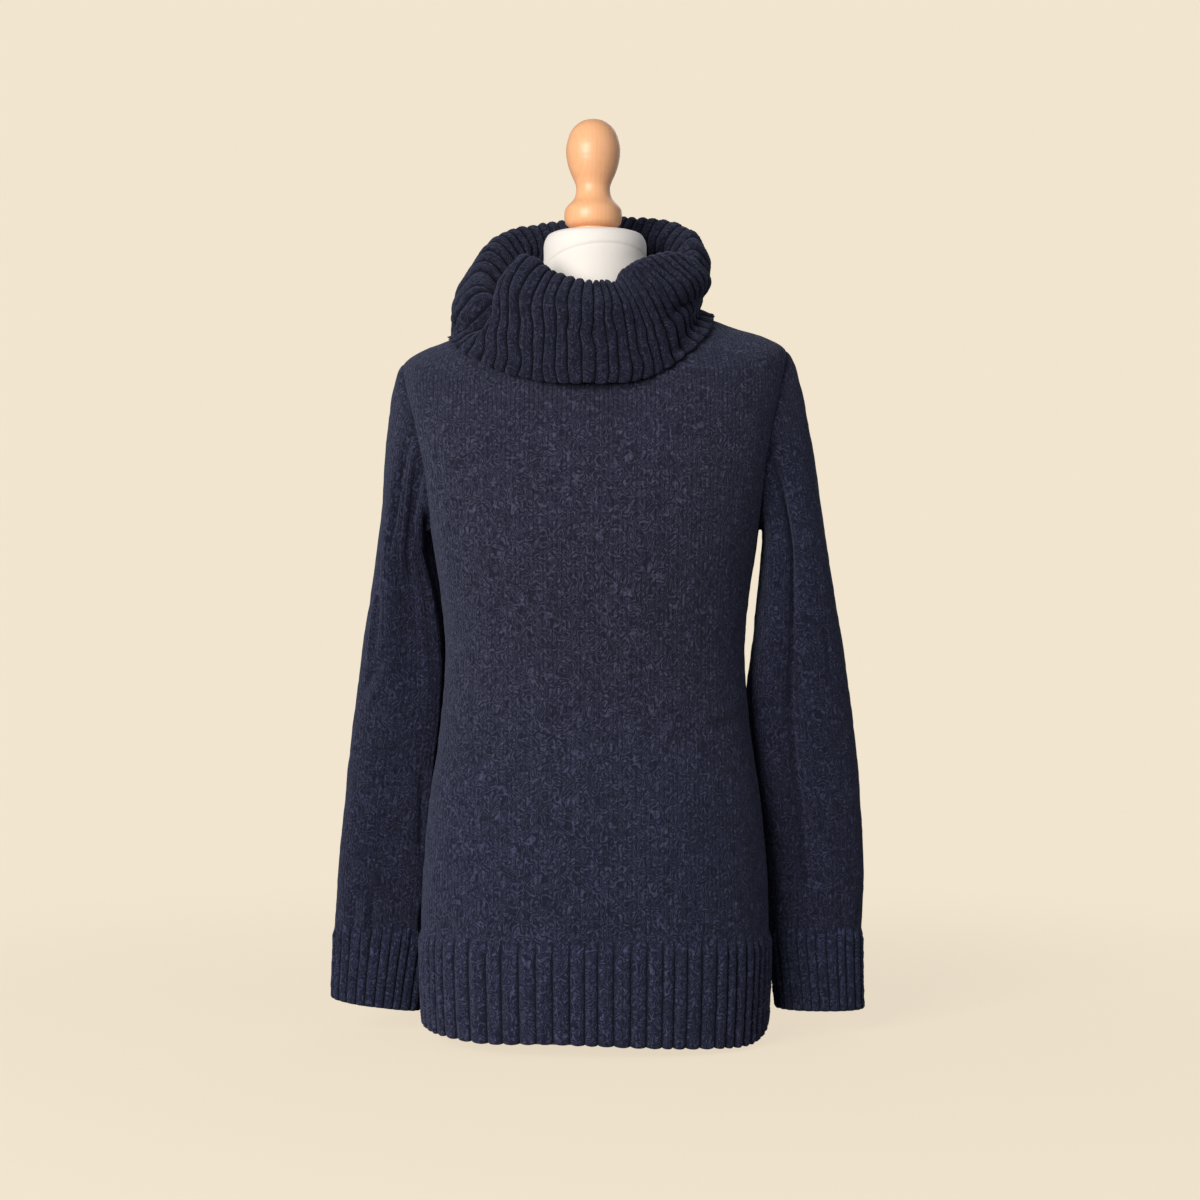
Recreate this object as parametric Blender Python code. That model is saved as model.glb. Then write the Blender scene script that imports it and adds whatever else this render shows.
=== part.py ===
"""A chunky turtleneck sweater worn by a limbless dress form, at real size.

Every cloth piece is a thin knitted wall: two body panels, two sleeves, a folded
collar, two hem ribs and two cuffs.  The form is a padded torso with a turned
wooden knob.  Units are metres, +Z is up, -Y is the front and +X is the wearer's
left.  The origin is the middle of the form's flat foot.
"""

import math

import bmesh
import bpy
import numpy as np
from mathutils import Vector
from mathutils.bvhtree import BVHTree

# ---------------------------------------------------------------- driving sizes
KNIT_WALL = 0.0026  # thickness of the plain knit
RIB_WALL = 0.0026  # thickness of the ribbed knit in its valleys
RIB_RELIEF = 0.0030  # how far a rib stands up out of its valley
SEAM_GAP = 0.0003  # clearance between two pieces at a seam
REST_GAP = 0.0014  # clearance of the collar's fold on the body
HANG_GAP = 0.0024  # clearance of a sleeve beside the body
RIB_HANG_GAP = 0.0064  # the same where a cuff's ribs hang beside the hem's

HEM_TOP = 0.115  # side height at which the hem rib meets the panels
UNDERARM = 0.520  # side height of the armhole's lowest point
SHOULDER_POINT = 0.700  # side height where the sleeve meets the shoulder seam
NECKLINE = 0.734  # side height of the neck seam
SHOULDER_TILT = 0.038  # rise for each metre across: one shoulder sits higher

HEM_RIBS = 34  # on each panel
CUFF_RIBS = 24
COLLAR_RIBS = 60
POINTS_PER_RIB = 3

PANEL_COLUMNS = 16
ARMHOLE_STEPS = 10  # rows of a panel beside its armhole
SHOULDER_STEPS = 4  # rows between the armhole and the neck seam
ARMHOLE_HALF_ANGLE = math.radians(20)

SLEEVE_SQUARENESS = 2.25  # 2 is an ellipse, more is boxier
RIDGE_ROUNDING = 1.7  # how a level falls from the shoulder ridge to the chest


def columns(names, rows):
    """A short table as named columns."""
    return dict(zip(names.split(), np.array(rows, float).T))


# The worn garment's outer surface, by the height of its side line.  From the
# shoulder point on, the side line runs up the shoulder ridge to the neck.
BODY = columns(
    "side_z  front_z  back_z  half_width  front_depth  back_depth  square  ease",
    [
        (0.000, 0.000, 0.000, 0.1745, 0.1150, 0.1140, 2.25, 0.0105),
        (0.060, 0.060, 0.060, 0.1775, 0.1180, 0.1170, 2.25, 0.0105),
        (0.115, 0.115, 0.115, 0.1785, 0.1190, 0.1180, 2.25, 0.0100),
        (0.170, 0.170, 0.170, 0.1765, 0.1180, 0.1170, 2.25, 0.0090),
        (0.230, 0.230, 0.230, 0.1715, 0.1150, 0.1120, 2.25, 0.0110),
        (0.300, 0.300, 0.300, 0.1620, 0.1090, 0.1030, 2.25, 0.0140),
        (0.350, 0.350, 0.350, 0.1565, 0.1070, 0.0980, 2.25, 0.0170),
        (0.400, 0.400, 0.400, 0.1545, 0.1090, 0.0960, 2.25, 0.0150),
        (0.450, 0.450, 0.450, 0.1575, 0.1150, 0.0980, 2.30, 0.0090),
        (0.500, 0.499, 0.500, 0.1655, 0.1195, 0.1020, 2.45, 0.0060),
        (0.530, 0.528, 0.531, 0.1695, 0.1205, 0.1050, 2.60, 0.0060),
        (0.570, 0.565, 0.573, 0.1765, 0.1195, 0.1070, 2.75, 0.0060),
        (0.610, 0.600, 0.617, 0.1845, 0.1160, 0.1070, 2.85, 0.0055),
        (0.650, 0.632, 0.662, 0.1920, 0.1110, 0.1040, 2.85, 0.0045),
        (0.680, 0.653, 0.694, 0.1965, 0.1060, 0.0990, 2.80, 0.0034),
        (0.692, 0.661, 0.707, 0.1970, 0.1035, 0.0965, 2.75, 0.0030),
        (0.700, 0.666, 0.716, 0.1945, 0.1015, 0.0945, 2.70, 0.0022),
        (0.708, 0.671, 0.724, 0.1845, 0.0990, 0.0920, 2.60, 0.0012),
        (0.715, 0.676, 0.732, 0.1700, 0.0960, 0.0890, 2.50, 0.0007),
        (0.724, 0.682, 0.741, 0.1440, 0.0915, 0.0845, 2.35, 0.0005),
        (0.734, 0.689, 0.752, 0.1170, 0.0860, 0.0790, 2.25, 0.0006),
    ],
)

# The form above the neck seam: its own rounded neck, in the same columns.
FORM_NECK = columns(
    "side_z  front_z  back_z  half_width  front_depth  back_depth  square",
    [
        (0.741, 0.696, 0.759, 0.0890, 0.0740, 0.0680, 2.20),
        (0.753, 0.712, 0.771, 0.0680, 0.0620, 0.0610, 2.10),
        (0.773, 0.743, 0.786, 0.0575, 0.0550, 0.0560, 2.00),
        (0.800, 0.785, 0.804, 0.0527, 0.0522, 0.0522, 2.00),
        (0.8205, 0.8205, 0.8205, 0.0508, 0.0503, 0.0503, 2.00),
        (0.8245, 0.8245, 0.8245, 0.0487, 0.0483, 0.0483, 2.00),
        (0.8270, 0.8270, 0.8270, 0.0440, 0.0437, 0.0437, 2.00),
        (0.8285, 0.8285, 0.8285, 0.0335, 0.0335, 0.0335, 2.00),
    ],
)
FORM_FOOT_HEIGHT = 0.040  # from here up the form follows the garment's table
FORM_FOOT_SCALE = {"side": 0.76, "front": 0.28, "back": 0.68}  # foot to full width

# The turned knob on the neck: radius at each height above the neck's flat top.
KNOB = columns(
    "height  radius",
    [
        (0.0000, 0.0207),
        (0.0034, 0.0199),
        (0.0042, 0.0225),
        (0.0058, 0.0258),
        (0.0085, 0.0283),
        (0.0125, 0.0295),
        (0.0185, 0.0297),
        (0.0235, 0.0286),
        (0.0275, 0.0257),
        (0.0315, 0.0217),
        (0.0355, 0.0191),
        (0.0415, 0.0176),
        (0.0465, 0.0176),
        (0.0525, 0.0195),
        (0.0600, 0.0229),
        (0.0720, 0.0266),
        (0.0810, 0.0279),
        (0.0870, 0.0278),
        (0.0940, 0.0264),
        (0.1015, 0.0238),
        (0.1065, 0.0208),
        (0.1105, 0.0168),
        (0.1140, 0.0112),
        (0.1157, 0.0055),
        (0.1162, 0.0000),
    ],
)
KNOB_SEAT = 0.8285
KNOB_SIDES = 20
KNOB_X = -0.0020  # the knob stands a little aside of the neck's middle

# Each sleeve hangs from its armhole: where its inner and outer edges lie, how
# far back it hangs and how deep it is from front to back.
SLEEVE_LEFT_ARM = columns(
    "z  inner_x  outer_x  middle_y  half_depth",
    [
        (0.026, 0.1905, 0.2775, 0.022, 0.024),
        (0.060, 0.1860, 0.2765, 0.024, 0.025),
        (0.098, 0.1800, 0.2765, 0.026, 0.026),
        (0.115, 0.1775, 0.2775, 0.027, 0.028),
        (0.160, 0.1735, 0.2795, 0.028, 0.032),
        (0.223, 0.1680, 0.2775, 0.028, 0.036),
        (0.285, 0.1590, 0.2725, 0.026, 0.040),
        (0.347, 0.1560, 0.2645, 0.020, 0.044),
        (0.409, 0.1630, 0.2550, 0.012, 0.048),
        (0.471, 0.1690, 0.2440, 0.006, 0.051),
        (0.500, 0.1712, 0.2390, 0.003, 0.052),
    ],
)
SLEEVE_RIGHT_ARM = columns(
    "z  inner_x  outer_x  middle_y  half_depth",
    [
        (0.026, 0.1860, 0.2735, 0.028, 0.024),
        (0.060, 0.1800, 0.2730, 0.032, 0.025),
        (0.098, 0.1720, 0.2720, 0.036, 0.026),
        (0.115, 0.1690, 0.2720, 0.038, 0.028),
        (0.160, 0.1640, 0.2700, 0.040, 0.032),
        (0.223, 0.1580, 0.2635, 0.041, 0.036),
        (0.285, 0.1500, 0.2575, 0.040, 0.040),
        (0.347, 0.1430, 0.2495, 0.037, 0.044),
        (0.409, 0.1450, 0.2410, 0.031, 0.048),
        (0.471, 0.1570, 0.2310, 0.025, 0.051),
        (0.500, 0.1650, 0.2265, 0.019, 0.052),
    ],
)
SLEEVE_CAP_END = 0.500  # height where the sleeve cap becomes a hanging tube
CUFF_TOP = 0.112
CUFF_BOTTOM = 0.037
CUFF_DROP = {1: (0.011, 0.010), -1: (0.001, 0.014)}  # at the outer and inner edge
SLEEVE_CAP_ROWS = (0.0, 0.08, 0.18, 0.31, 0.48, 0.72)
SLEEVE_TUBE_ROWS = 9

# The hem's lower edge, by degrees round from the front towards +X.
HEM_EDGE = columns(
    "around  z",
    [
        (-180, 0.0100),
        (-135, 0.0120),
        (-95, 0.0180),
        (-60, 0.0150),
        (-35, 0.0130),
        (-12, 0.0155),
        (15, 0.0115),
        (38, 0.0075),
        (62, 0.0050),
        (92, 0.0190),
        (135, 0.0120),
    ],
)

# Lengthwise creases of the sleeves, as troughs (minus) and ridges (plus).
# around: degrees from the outer edge, by the front; z_low to z_high: its run.
SLEEVE_CREASES = {
    1: columns(
        "around  z_low  z_high  half_turn  depth",
        [
            (99, 0.120, 0.640, 15, -0.0090),
            (134, 0.180, 0.600, 20, 0.0035),
            (45, 0.180, 0.560, 22, 0.0030),
            (255, 0.200, 0.560, 26, -0.0060),
        ],
    ),
    -1: columns(
        "around  z_low  z_high  half_turn  depth",
        [
            (62, 0.380, 0.660, 20, 0.0040),
            (98, 0.330, 0.640, 17, -0.0065),
            (88, 0.130, 0.330, 22, -0.0040),
            (262, 0.180, 0.560, 26, -0.0060),
        ],
    ),
}

# The folded collar, by stations round the neck (degrees from the front, towards
# +X).  The knit stands up from the neck seam, rolls over its crest and falls
# outside to its free edge.  crest_turn is how far the crest is twisted round.
COLLAR = columns(
    "edge_deg  crest_turn  crest_r  crest_z  roll  fall_r  edge_r  edge_z",
    [
        (-172, 0, 0.0960, 0.8545, 0.014, 0.1110, 0.1010, 0.7360),
        (-150, 0, 0.1030, 0.8470, 0.014, 0.1180, 0.1110, 0.7310),
        (-128, 0, 0.1125, 0.8360, 0.015, 0.1310, 0.1310, 0.7250),
        (-110, 2, 0.1130, 0.8160, 0.016, 0.1380, 0.1400, 0.7190),
        (-97, 6, 0.1165, 0.7880, 0.016, 0.1395, 0.1380, 0.7155),
        (-85, 12, 0.1215, 0.7570, 0.014, 0.1410, 0.1425, 0.7110),
        (-73, 13, 0.1070, 0.7410, 0.009, 0.1370, 0.1475, 0.7035),
        (-62, 8, 0.0990, 0.7470, 0.009, 0.1300, 0.1480, 0.6945),
        (-50, 4, 0.1030, 0.7830, 0.014, 0.1275, 0.1350, 0.6800),
        (-26, 0, 0.0950, 0.7700, 0.019, 0.1195, 0.1195, 0.6640),
        (0, -2, 0.0930, 0.7590, 0.019, 0.1175, 0.1145, 0.6615),
        (20, -8, 0.0900, 0.7640, 0.018, 0.1150, 0.1150, 0.6640),
        (42, -20, 0.0905, 0.7750, 0.019, 0.1140, 0.1200, 0.6830),
        (62, -30, 0.0920, 0.7845, 0.020, 0.1085, 0.1250, 0.7125),
        (82, -31, 0.0950, 0.7920, 0.016, 0.1030, 0.1180, 0.7315),
        (106, -19, 0.0980, 0.7980, 0.011, 0.1040, 0.1115, 0.7355),
        (120, -15, 0.1050, 0.8240, 0.013, 0.1110, 0.1125, 0.7370),
        (134, -9, 0.1050, 0.8420, 0.014, 0.1150, 0.1130, 0.7340),
        (162, -2, 0.0990, 0.8545, 0.014, 0.1130, 0.1030, 0.7360),
    ],
)
COLLAR_ROWS = (0.0, 0.15, 0.30, 0.42, 0.47, 0.52, 0.58, 0.70, 0.85, 1.0)

# Soft dents pressed into the collar's roll: where round, where along the knit
# (0 is the seam, 1 the free edge), how wide and how deep.
COLLAR_DENTS = columns(
    "deg  along  half_turn  half_along  depth",
    [
        (-64, 0.62, 8, 0.12, -0.0100),
        (-72, 0.78, 9, 0.12, -0.0040),
        (22, 0.52, 7, 0.07, -0.0050),
        (66, 0.80, 16, 0.16, -0.0040),
    ],
)

# ------------------------------------------------------------- curves and walls


def smooth(at, xs, ys):
    """The smooth curve through the points (xs, ys), read at each value of at."""
    at = np.clip(np.asarray(at, float), xs[0], xs[-1])
    slopes = np.gradient(ys, xs)
    i = np.clip(np.searchsorted(xs, at, side="right") - 1, 0, len(xs) - 2)
    span = xs[i + 1] - xs[i]
    t = (at - xs[i]) / span
    rise = ys[i + 1] - ys[i]
    bend_in = slopes[i] * span - rise
    bend_out = -slopes[i + 1] * span + rise
    return ys[i] + t * rise + t * (1 - t) * (bend_in * (1 - t) + bend_out * t)


def smooth_round(deg, stations, values):
    """The same curve on a closed ring of stations given in degrees."""
    xs = np.concatenate([stations[-3:] - 360, stations, stations[:3] + 360])
    ys = np.concatenate([values[-3:], values, values[:3]])
    wrapped = (np.asarray(deg, float) - stations[0]) % 360 + stations[0]
    return smooth(wrapped, xs, ys)


def unit(vectors):
    return vectors / np.linalg.norm(vectors, axis=-1, keepdims=True)


def normals_of(surface, a, b, step_a, step_b):
    """Unit normals of surface(a, b), from points a small step to each side."""
    along_a = surface(a + step_a, b) - surface(a - step_a, b)
    along_b = surface(a, b + step_b) - surface(a, b - step_b)
    return unit(np.cross(along_a, along_b))


def mix(a, b, share):
    share = np.asarray(share)[..., None]
    return a * (1 - share) + b * share


def bell(distance):
    return np.exp(-np.square(distance))


def ease_between(at, low, high):
    """0 below low, 1 above high and a soft step between them."""
    t = np.clip((np.asarray(at) - low) / (high - low), 0, 1)
    return t * t * (3 - 2 * t)


def wall_mesh(name, outer, inner, closed):
    """One closed solid between an outer and an inner grid of points.

    Both grids are [row, column, xyz].  The outer one may have several columns
    for each inner one.  closed says that the columns run round into a ring.
    """
    rows, wide, _ = outer.shape
    slim = inner.shape[1]
    spans = slim if closed else slim - 1
    finer = wide // slim if closed else (wide - 1) // spans
    points = np.concatenate([outer.reshape(-1, 3), inner.reshape(-1, 3)])

    def out(row, column):
        return row * wide + column % wide

    def back(row, column):
        return rows * wide + row * slim + column % slim

    faces = []
    for row in range(rows - 1):
        for c in range(spans * finer):
            faces.append((out(row, c), out(row, c + 1), out(row + 1, c + 1), out(row + 1, c)))
        for c in range(spans):
            faces.append((back(row, c), back(row + 1, c), back(row + 1, c + 1), back(row, c + 1)))
    for row, turned in ((0, False), (rows - 1, True)):
        for c in range(spans):
            edge = [
                (out(row, c * finer + i), out(row, c * finer + i + 1), back(row, c + (i >= finer / 2)))
                for i in range(finer)
            ]
            middle = c * finer + math.ceil(finer / 2)
            edge.append((out(row, middle), back(row, c + 1), back(row, c)))
            faces += [tri if turned else tri[::-1] for tri in edge]
    if not closed:
        last_out, last_back = wide - 1, slim - 1
        for row in range(rows - 1):
            faces.append((out(row, 0), out(row + 1, 0), back(row + 1, 0), back(row, 0)))
            faces.append(
                (
                    out(row, last_out),
                    back(row, last_back),
                    back(row + 1, last_back),
                    out(row + 1, last_out),
                )
            )
    mesh = bpy.data.meshes.new(name)
    mesh.from_pydata([tuple(p) for p in points], [], faces)
    return mesh


def add_object(name, mesh, material):
    """Links a mesh as a smooth-shaded object whose faces all point outwards."""
    tidy = bmesh.new()
    tidy.from_mesh(mesh)
    bmesh.ops.triangulate(tidy, faces=[f for f in tidy.faces if len(f.verts) == 4])
    bmesh.ops.recalc_face_normals(tidy, faces=tidy.faces)
    tidy.to_mesh(mesh)
    tidy.free()
    mesh.shade_smooth()
    mesh.set_sharp_from_angle(angle=math.radians(50))
    mesh.materials.append(material)
    piece = bpy.data.objects.new(name, mesh)
    bpy.context.scene.collection.objects.link(piece)
    return piece


def material(name, color, roughness):
    made = bpy.data.materials.new(name)
    made.use_nodes = True
    shader = made.node_tree.nodes["Principled BSDF"]
    shader.inputs["Base Color"].default_value = (*color, 1)
    shader.inputs["Roughness"].default_value = roughness
    shader.inputs["Metallic"].default_value = 0
    return made


# ------------------------------------------------------------ the garment's body


def level_point(table, side_z, theta):
    """A point of the ring at that side height; theta 0 is +X, -90 degrees the front."""
    read = {name: smooth(side_z, table["side_z"], table[name]) for name in table}
    sine, cosine = np.sin(theta), np.cos(theta)
    power = 2 / read["square"]
    depth = np.where(sine < 0, read["front_depth"], read["back_depth"])
    end_z = np.where(sine < 0, read["front_z"], read["back_z"])
    x = read["half_width"] * np.sign(cosine) * np.abs(cosine) ** power
    y = depth * np.sign(sine) * np.abs(sine) ** power
    z = side_z + (end_z - side_z) * np.abs(sine) ** RIDGE_ROUNDING
    z = z + SHOULDER_TILT * x * ease_between(side_z, UNDERARM - 0.06, SHOULDER_POINT)
    return np.stack(np.broadcast_arrays(x, y, z), axis=-1)


def body_point(side_z, theta):
    return level_point(BODY, side_z, theta)


def body_normal(side_z, theta):
    side_z, theta = np.broadcast_arrays(side_z, theta)
    inside = np.clip(side_z, BODY["side_z"][0] + 1e-4, NECKLINE - 1e-4)
    return normals_of(body_point, inside, theta, 1e-4, 1e-3) * -1


def armhole_half_angle(side_z):
    """Half the angle that the armhole takes out of the ring at that height."""
    middle, half = (SHOULDER_POINT + UNDERARM) / 2, (SHOULDER_POINT - UNDERARM) / 2
    inside = np.clip(1 - ((side_z - middle) / half) ** 2, 0, 1)
    return ARMHOLE_HALF_ANGLE * np.sqrt(inside)


def armhole_levels():
    """Side heights of the panel rows beside the armhole, bottom to top."""
    middle, half = (SHOULDER_POINT + UNDERARM) / 2, (SHOULDER_POINT - UNDERARM) / 2
    turns = np.linspace(math.pi, 0, ARMHOLE_STEPS + 1)
    return middle + half * np.cos(turns)


def shoulder_levels():
    return np.linspace(SHOULDER_POINT, NECKLINE, SHOULDER_STEPS + 1)


def panel_thetas(side_z, facing, columns_across):
    """Angles across a panel.  facing is -1 for the front and 1 for the back."""
    depth = smooth(side_z, BODY["side_z"], BODY["front_depth"])
    gap = (SEAM_GAP / 2 / depth) ** (smooth(side_z, BODY["side_z"], BODY["square"]) / 2)
    edge = np.maximum(armhole_half_angle(side_z), gap)
    across = np.linspace(0, 1, columns_across)
    if facing < 0:
        return -math.pi + edge + across * (math.pi - 2 * edge)
    return edge + across * (math.pi - 2 * edge)


def even_angles(curve, start, end, count):
    """Angles from start to end that cut a curve into equal lengths."""
    fine = np.linspace(start, end, 721)
    steps = np.linalg.norm(np.diff(curve(fine), axis=0), axis=-1)
    run = np.concatenate([[0], np.cumsum(steps)])
    return np.interp(np.linspace(0, run[-1], count), run, fine)


def build_body_panel(name, facing, knit):
    levels = np.concatenate(
        [
            np.linspace(HEM_TOP, UNDERARM, 9)[:-1],
            armhole_levels(),
            shoulder_levels()[1:],
        ]
    )
    thetas = np.array([panel_thetas(z, facing, PANEL_COLUMNS + 1) for z in levels])
    levels = np.repeat(levels[:, None], PANEL_COLUMNS + 1, axis=1)
    outer = body_point(levels, thetas)
    inner = outer - body_normal(levels, thetas) * KNIT_WALL
    return add_object(name, wall_mesh(name, outer, inner, closed=False), knit)


def rib_relief(count):
    """Heights of the outer points of a row of ribs: a valley, then two ridge points."""
    one = np.full(POINTS_PER_RIB, RIB_RELIEF)
    one[0] = 0
    return np.tile(one, count)


def build_hem_rib(name, facing, knit):
    """The ribbed band below a panel; its relief fades in from the plain knit."""
    shares = np.array([0.0, 0.12, 0.88, 1.0])[:, None]
    fade = np.array([0.7, 1.0, 1.0, 0.0])
    wide, slim = HEM_RIBS * POINTS_PER_RIB + 1, HEM_RIBS + 1
    relief = np.append(rib_relief(HEM_RIBS), 0)
    first, last = panel_thetas(HEM_TOP, facing, 2)

    def hem_line(theta):
        return body_point(HEM_TOP, theta)

    def grid(across):
        thetas = even_angles(hem_line, first, last, across)
        thetas = np.repeat(thetas[None], len(fade), axis=0)
        around = np.degrees(thetas) + 90
        bottom = smooth_round(around, HEM_EDGE["around"], HEM_EDGE["z"])
        return bottom + (HEM_TOP - SEAM_GAP - bottom) * shares, thetas

    outer_levels, outer_thetas = grid(wide)
    inner_levels, inner_thetas = grid(slim)
    lift = fade[:, None] * relief[None, :]
    outer = body_point(outer_levels, outer_thetas)
    outer += body_normal(outer_levels, outer_thetas) * lift[..., None]
    inner = body_point(inner_levels, inner_thetas)
    inner -= body_normal(inner_levels, inner_thetas) * RIB_WALL
    return add_object(name, wall_mesh(name, outer, inner, closed=False), knit)


def body_tree(low, high):
    """The garment's body between two side heights, for distances to it."""
    levels = np.linspace(low, high, 40)
    thetas = np.linspace(-math.pi, math.pi, 121)
    grid = body_point(*np.meshgrid(levels, thetas, indexing="ij"))
    rows, wide = grid.shape[:2]
    faces = [
        (r * wide + c, r * wide + c + 1, (r + 1) * wide + c + 1, (r + 1) * wide + c)
        for r in range(rows - 1)
        for c in range(wide - 1)
    ]
    return BVHTree.FromPolygons([Vector(p) for p in grid.reshape(-1, 3)], faces)


def push_clear(points, gaps, tree, sideways=False):
    """How far each point has to move, sideways only or not, to keep its gap."""
    moves = np.zeros_like(points)
    for index in np.ndindex(points.shape[:2]):
        if gaps[index] > 0:
            spot = Vector(points[index])
            nearest, normal, _, _ = tree.find_nearest(spot)
            clear = (spot - nearest).dot(normal)
            if sideways:
                normal.z = 0
            moves[index] = normal * max(0, gaps[index] - clear)
    return moves


# ------------------------------------------------------------------- the sleeves


def armhole_point(side, turn, inset):
    """A point on the armhole seam; turn 0 is the shoulder and pi the underarm.

    inset shrinks the loop, for the sleeve's own side of the seam.
    """
    middle, half = (SHOULDER_POINT + UNDERARM) / 2, (SHOULDER_POINT - UNDERARM) / 2
    level = middle + half * np.cos(turn) * (1 - inset)
    theta = -ARMHOLE_HALF_ANGLE * np.sin(turn) * (1 - inset)
    theta = theta if side > 0 else math.pi - theta
    return body_point(level, theta), body_normal(level, theta)


def tube_point(side, z, turn):
    """A point of the hanging sleeve; turn 0 is its outer edge, 90 degrees its front."""
    table = SLEEVE_LEFT_ARM if side > 0 else SLEEVE_RIGHT_ARM
    read = {name: smooth(z, table["z"], table[name]) for name in table}
    power = 2 / SLEEVE_SQUARENESS
    sine, cosine = np.sin(turn), np.cos(turn)
    middle = (read["outer_x"] + read["inner_x"]) / 2
    half = (read["outer_x"] - read["inner_x"]) / 2
    x = side * (middle + half * np.sign(cosine) * np.abs(cosine) ** power)
    y = read["middle_y"] - read["half_depth"] * np.sign(sine) * np.abs(sine) ** power
    outer_drop, inner_drop = CUFF_DROP[side]
    inward = (1 - cosine) / 2
    drop = outer_drop + (inner_drop - outer_drop) * inward
    drop = drop * (1 - ease_between(z, CUFF_BOTTOM, CUFF_TOP))
    return np.stack(np.broadcast_arrays(x, y, z - drop), axis=-1)


def sleeve_smooth_point(side, along, turn):
    """A point of the sleeve without its creases.

    along runs from 0 at the armhole to 1 where the cap ends, then on down the
    hanging tube: 2 is the floor's height, so it falls evenly with z.
    """
    along, turn = np.broadcast_arrays(along, turn)
    start, _ = armhole_point(side, turn, 0.004)
    end = tube_point(side, SLEEVE_CAP_END, turn)
    outward = (1 + np.cos(turn)) / 2  # 1 at the shoulder, 0 at the underarm
    leave = np.stack(
        [
            side * (0.018 + 0.036 * outward),
            np.zeros_like(outward),
            0.010 - 0.028 * outward,
        ],
        axis=-1,
    )
    arrive = np.stack(
        [side * 0.030 * outward, np.zeros_like(outward), -0.050 - 0.150 * outward],
        axis=-1,
    )
    t = np.clip(along, 0, 1)[..., None]
    cap = (
        (2 * t**3 - 3 * t**2 + 1) * start
        + (t**3 - 2 * t**2 + t) * leave
        + (3 * t**2 - 2 * t**3) * end
        + (t**3 - t**2) * arrive
    )
    tube = tube_point(side, SLEEVE_CAP_END * (2 - np.maximum(along, 1)), turn)
    return np.where(along[..., None] < 1, cap, tube)


def sleeve_crease(side, points, turn):
    """How far the creases push each point of the sleeve out or in."""
    push = np.zeros(turn.shape)
    creases = SLEEVE_CREASES[side]
    for around, low, high, half_turn, depth in zip(*creases.values()):
        away = (np.degrees(turn) - around + 180) % 360 - 180
        z = points[..., 2]
        run = ease_between(z, low, low + 0.06) * (1 - ease_between(z, high - 0.08, high))
        push += depth * bell(away / half_turn) * run
    return push


def sleeve_frame(side, along, turn):
    """Points on the sleeve's outer face, and the outward direction at each."""

    def surface(a, b):
        return sleeve_smooth_point(side, a, b)

    points = surface(along, turn)
    safe = np.maximum(along, 0.012)
    outward = normals_of(surface, safe, turn, 0.008, 0.02) * -side
    _, seam_normal = armhole_point(side, turn, 0.004)
    outward = unit(mix(seam_normal, outward, ease_between(along, 0, 0.10)))
    # Level at the cuff's seam, so that the edges on both sides of it stay parallel.
    outward[..., 2] *= ease_between(np.abs(points[..., 2] - CUFF_TOP), 0.002, 0.02)
    outward = unit(outward)
    push = sleeve_crease(side, points, turn)
    points = points + outward * push[..., None]
    ribbed = 1 - ease_between(points[..., 2], HEM_TOP, HEM_TOP + 0.03)
    gaps = HANG_GAP + (RIB_HANG_GAP - HANG_GAP) * ribbed
    gaps = gaps * ease_between(points[..., 2], UNDERARM, UNDERARM - 0.012)
    return points + push_clear(points, gaps, body_tree(0.0, UNDERARM), sideways=True), outward


def build_sleeve(name, side, knit):
    last = 2 - CUFF_TOP / SLEEVE_CAP_END
    rows = np.concatenate([SLEEVE_CAP_ROWS, np.linspace(1, last, SLEEVE_TUBE_ROWS)])
    turns = np.arange(2 * ARMHOLE_STEPS) * math.pi / ARMHOLE_STEPS
    along, turn = np.meshgrid(rows, turns, indexing="ij")
    outer, outward = sleeve_frame(side, along, turn)
    inner = outer - outward * KNIT_WALL
    return add_object(name, wall_mesh(name, outer, inner, closed=True), knit)


def build_cuff(name, side, knit):
    top = CUFF_TOP - SEAM_GAP
    heights = np.array([top, top - 0.010, CUFF_BOTTOM + 0.008, CUFF_BOTTOM])
    fade = np.array([0.0, 1.0, 1.0, 0.7])
    rows = 2 - heights / SLEEVE_CAP_END

    def cuff_line(turn):
        return tube_point(side, CUFF_TOP, turn)

    def ring_turns(count):
        return even_angles(cuff_line, 0, 2 * math.pi, count + 1)[:-1]

    wide = CUFF_RIBS * POINTS_PER_RIB
    along, turn = np.meshgrid(rows, ring_turns(wide), indexing="ij")
    outer, outward = sleeve_frame(side, along, turn)
    lift = fade[:, None] * rib_relief(CUFF_RIBS)[None, :] * 0.8
    outer = outer + outward * lift[..., None]
    along, turn = np.meshgrid(rows, ring_turns(CUFF_RIBS), indexing="ij")
    inner, outward = sleeve_frame(side, along, turn)
    inner = inner - outward * RIB_WALL
    return add_object(name, wall_mesh(name, outer, inner, closed=True), knit)


# -------------------------------------------------------------------- the collar


def polar(radius, deg, z):
    """A point round the neck; deg 0 is the front and 90 is +X."""
    turn = np.radians(deg)
    return np.stack([radius * np.sin(turn), -radius * np.cos(turn), z], axis=-1)


def neck_edge(deg):
    """The start of the collar, just clear of the straight runs of the panels' edge."""
    thetas = np.linspace(-math.pi, math.pi, 2 * PANEL_COLUMNS + 1)
    corners = body_point(np.full_like(thetas, NECKLINE), thetas)
    below = body_point(np.full_like(thetas, NECKLINE - 0.004), thetas)
    corners = corners + unit(corners - below) * SEAM_GAP
    theta = (np.radians(deg - 90) + math.pi) % (2 * math.pi) - math.pi
    return np.stack([np.interp(theta, thetas, corners[:, axis]) for axis in range(3)], -1)


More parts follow.
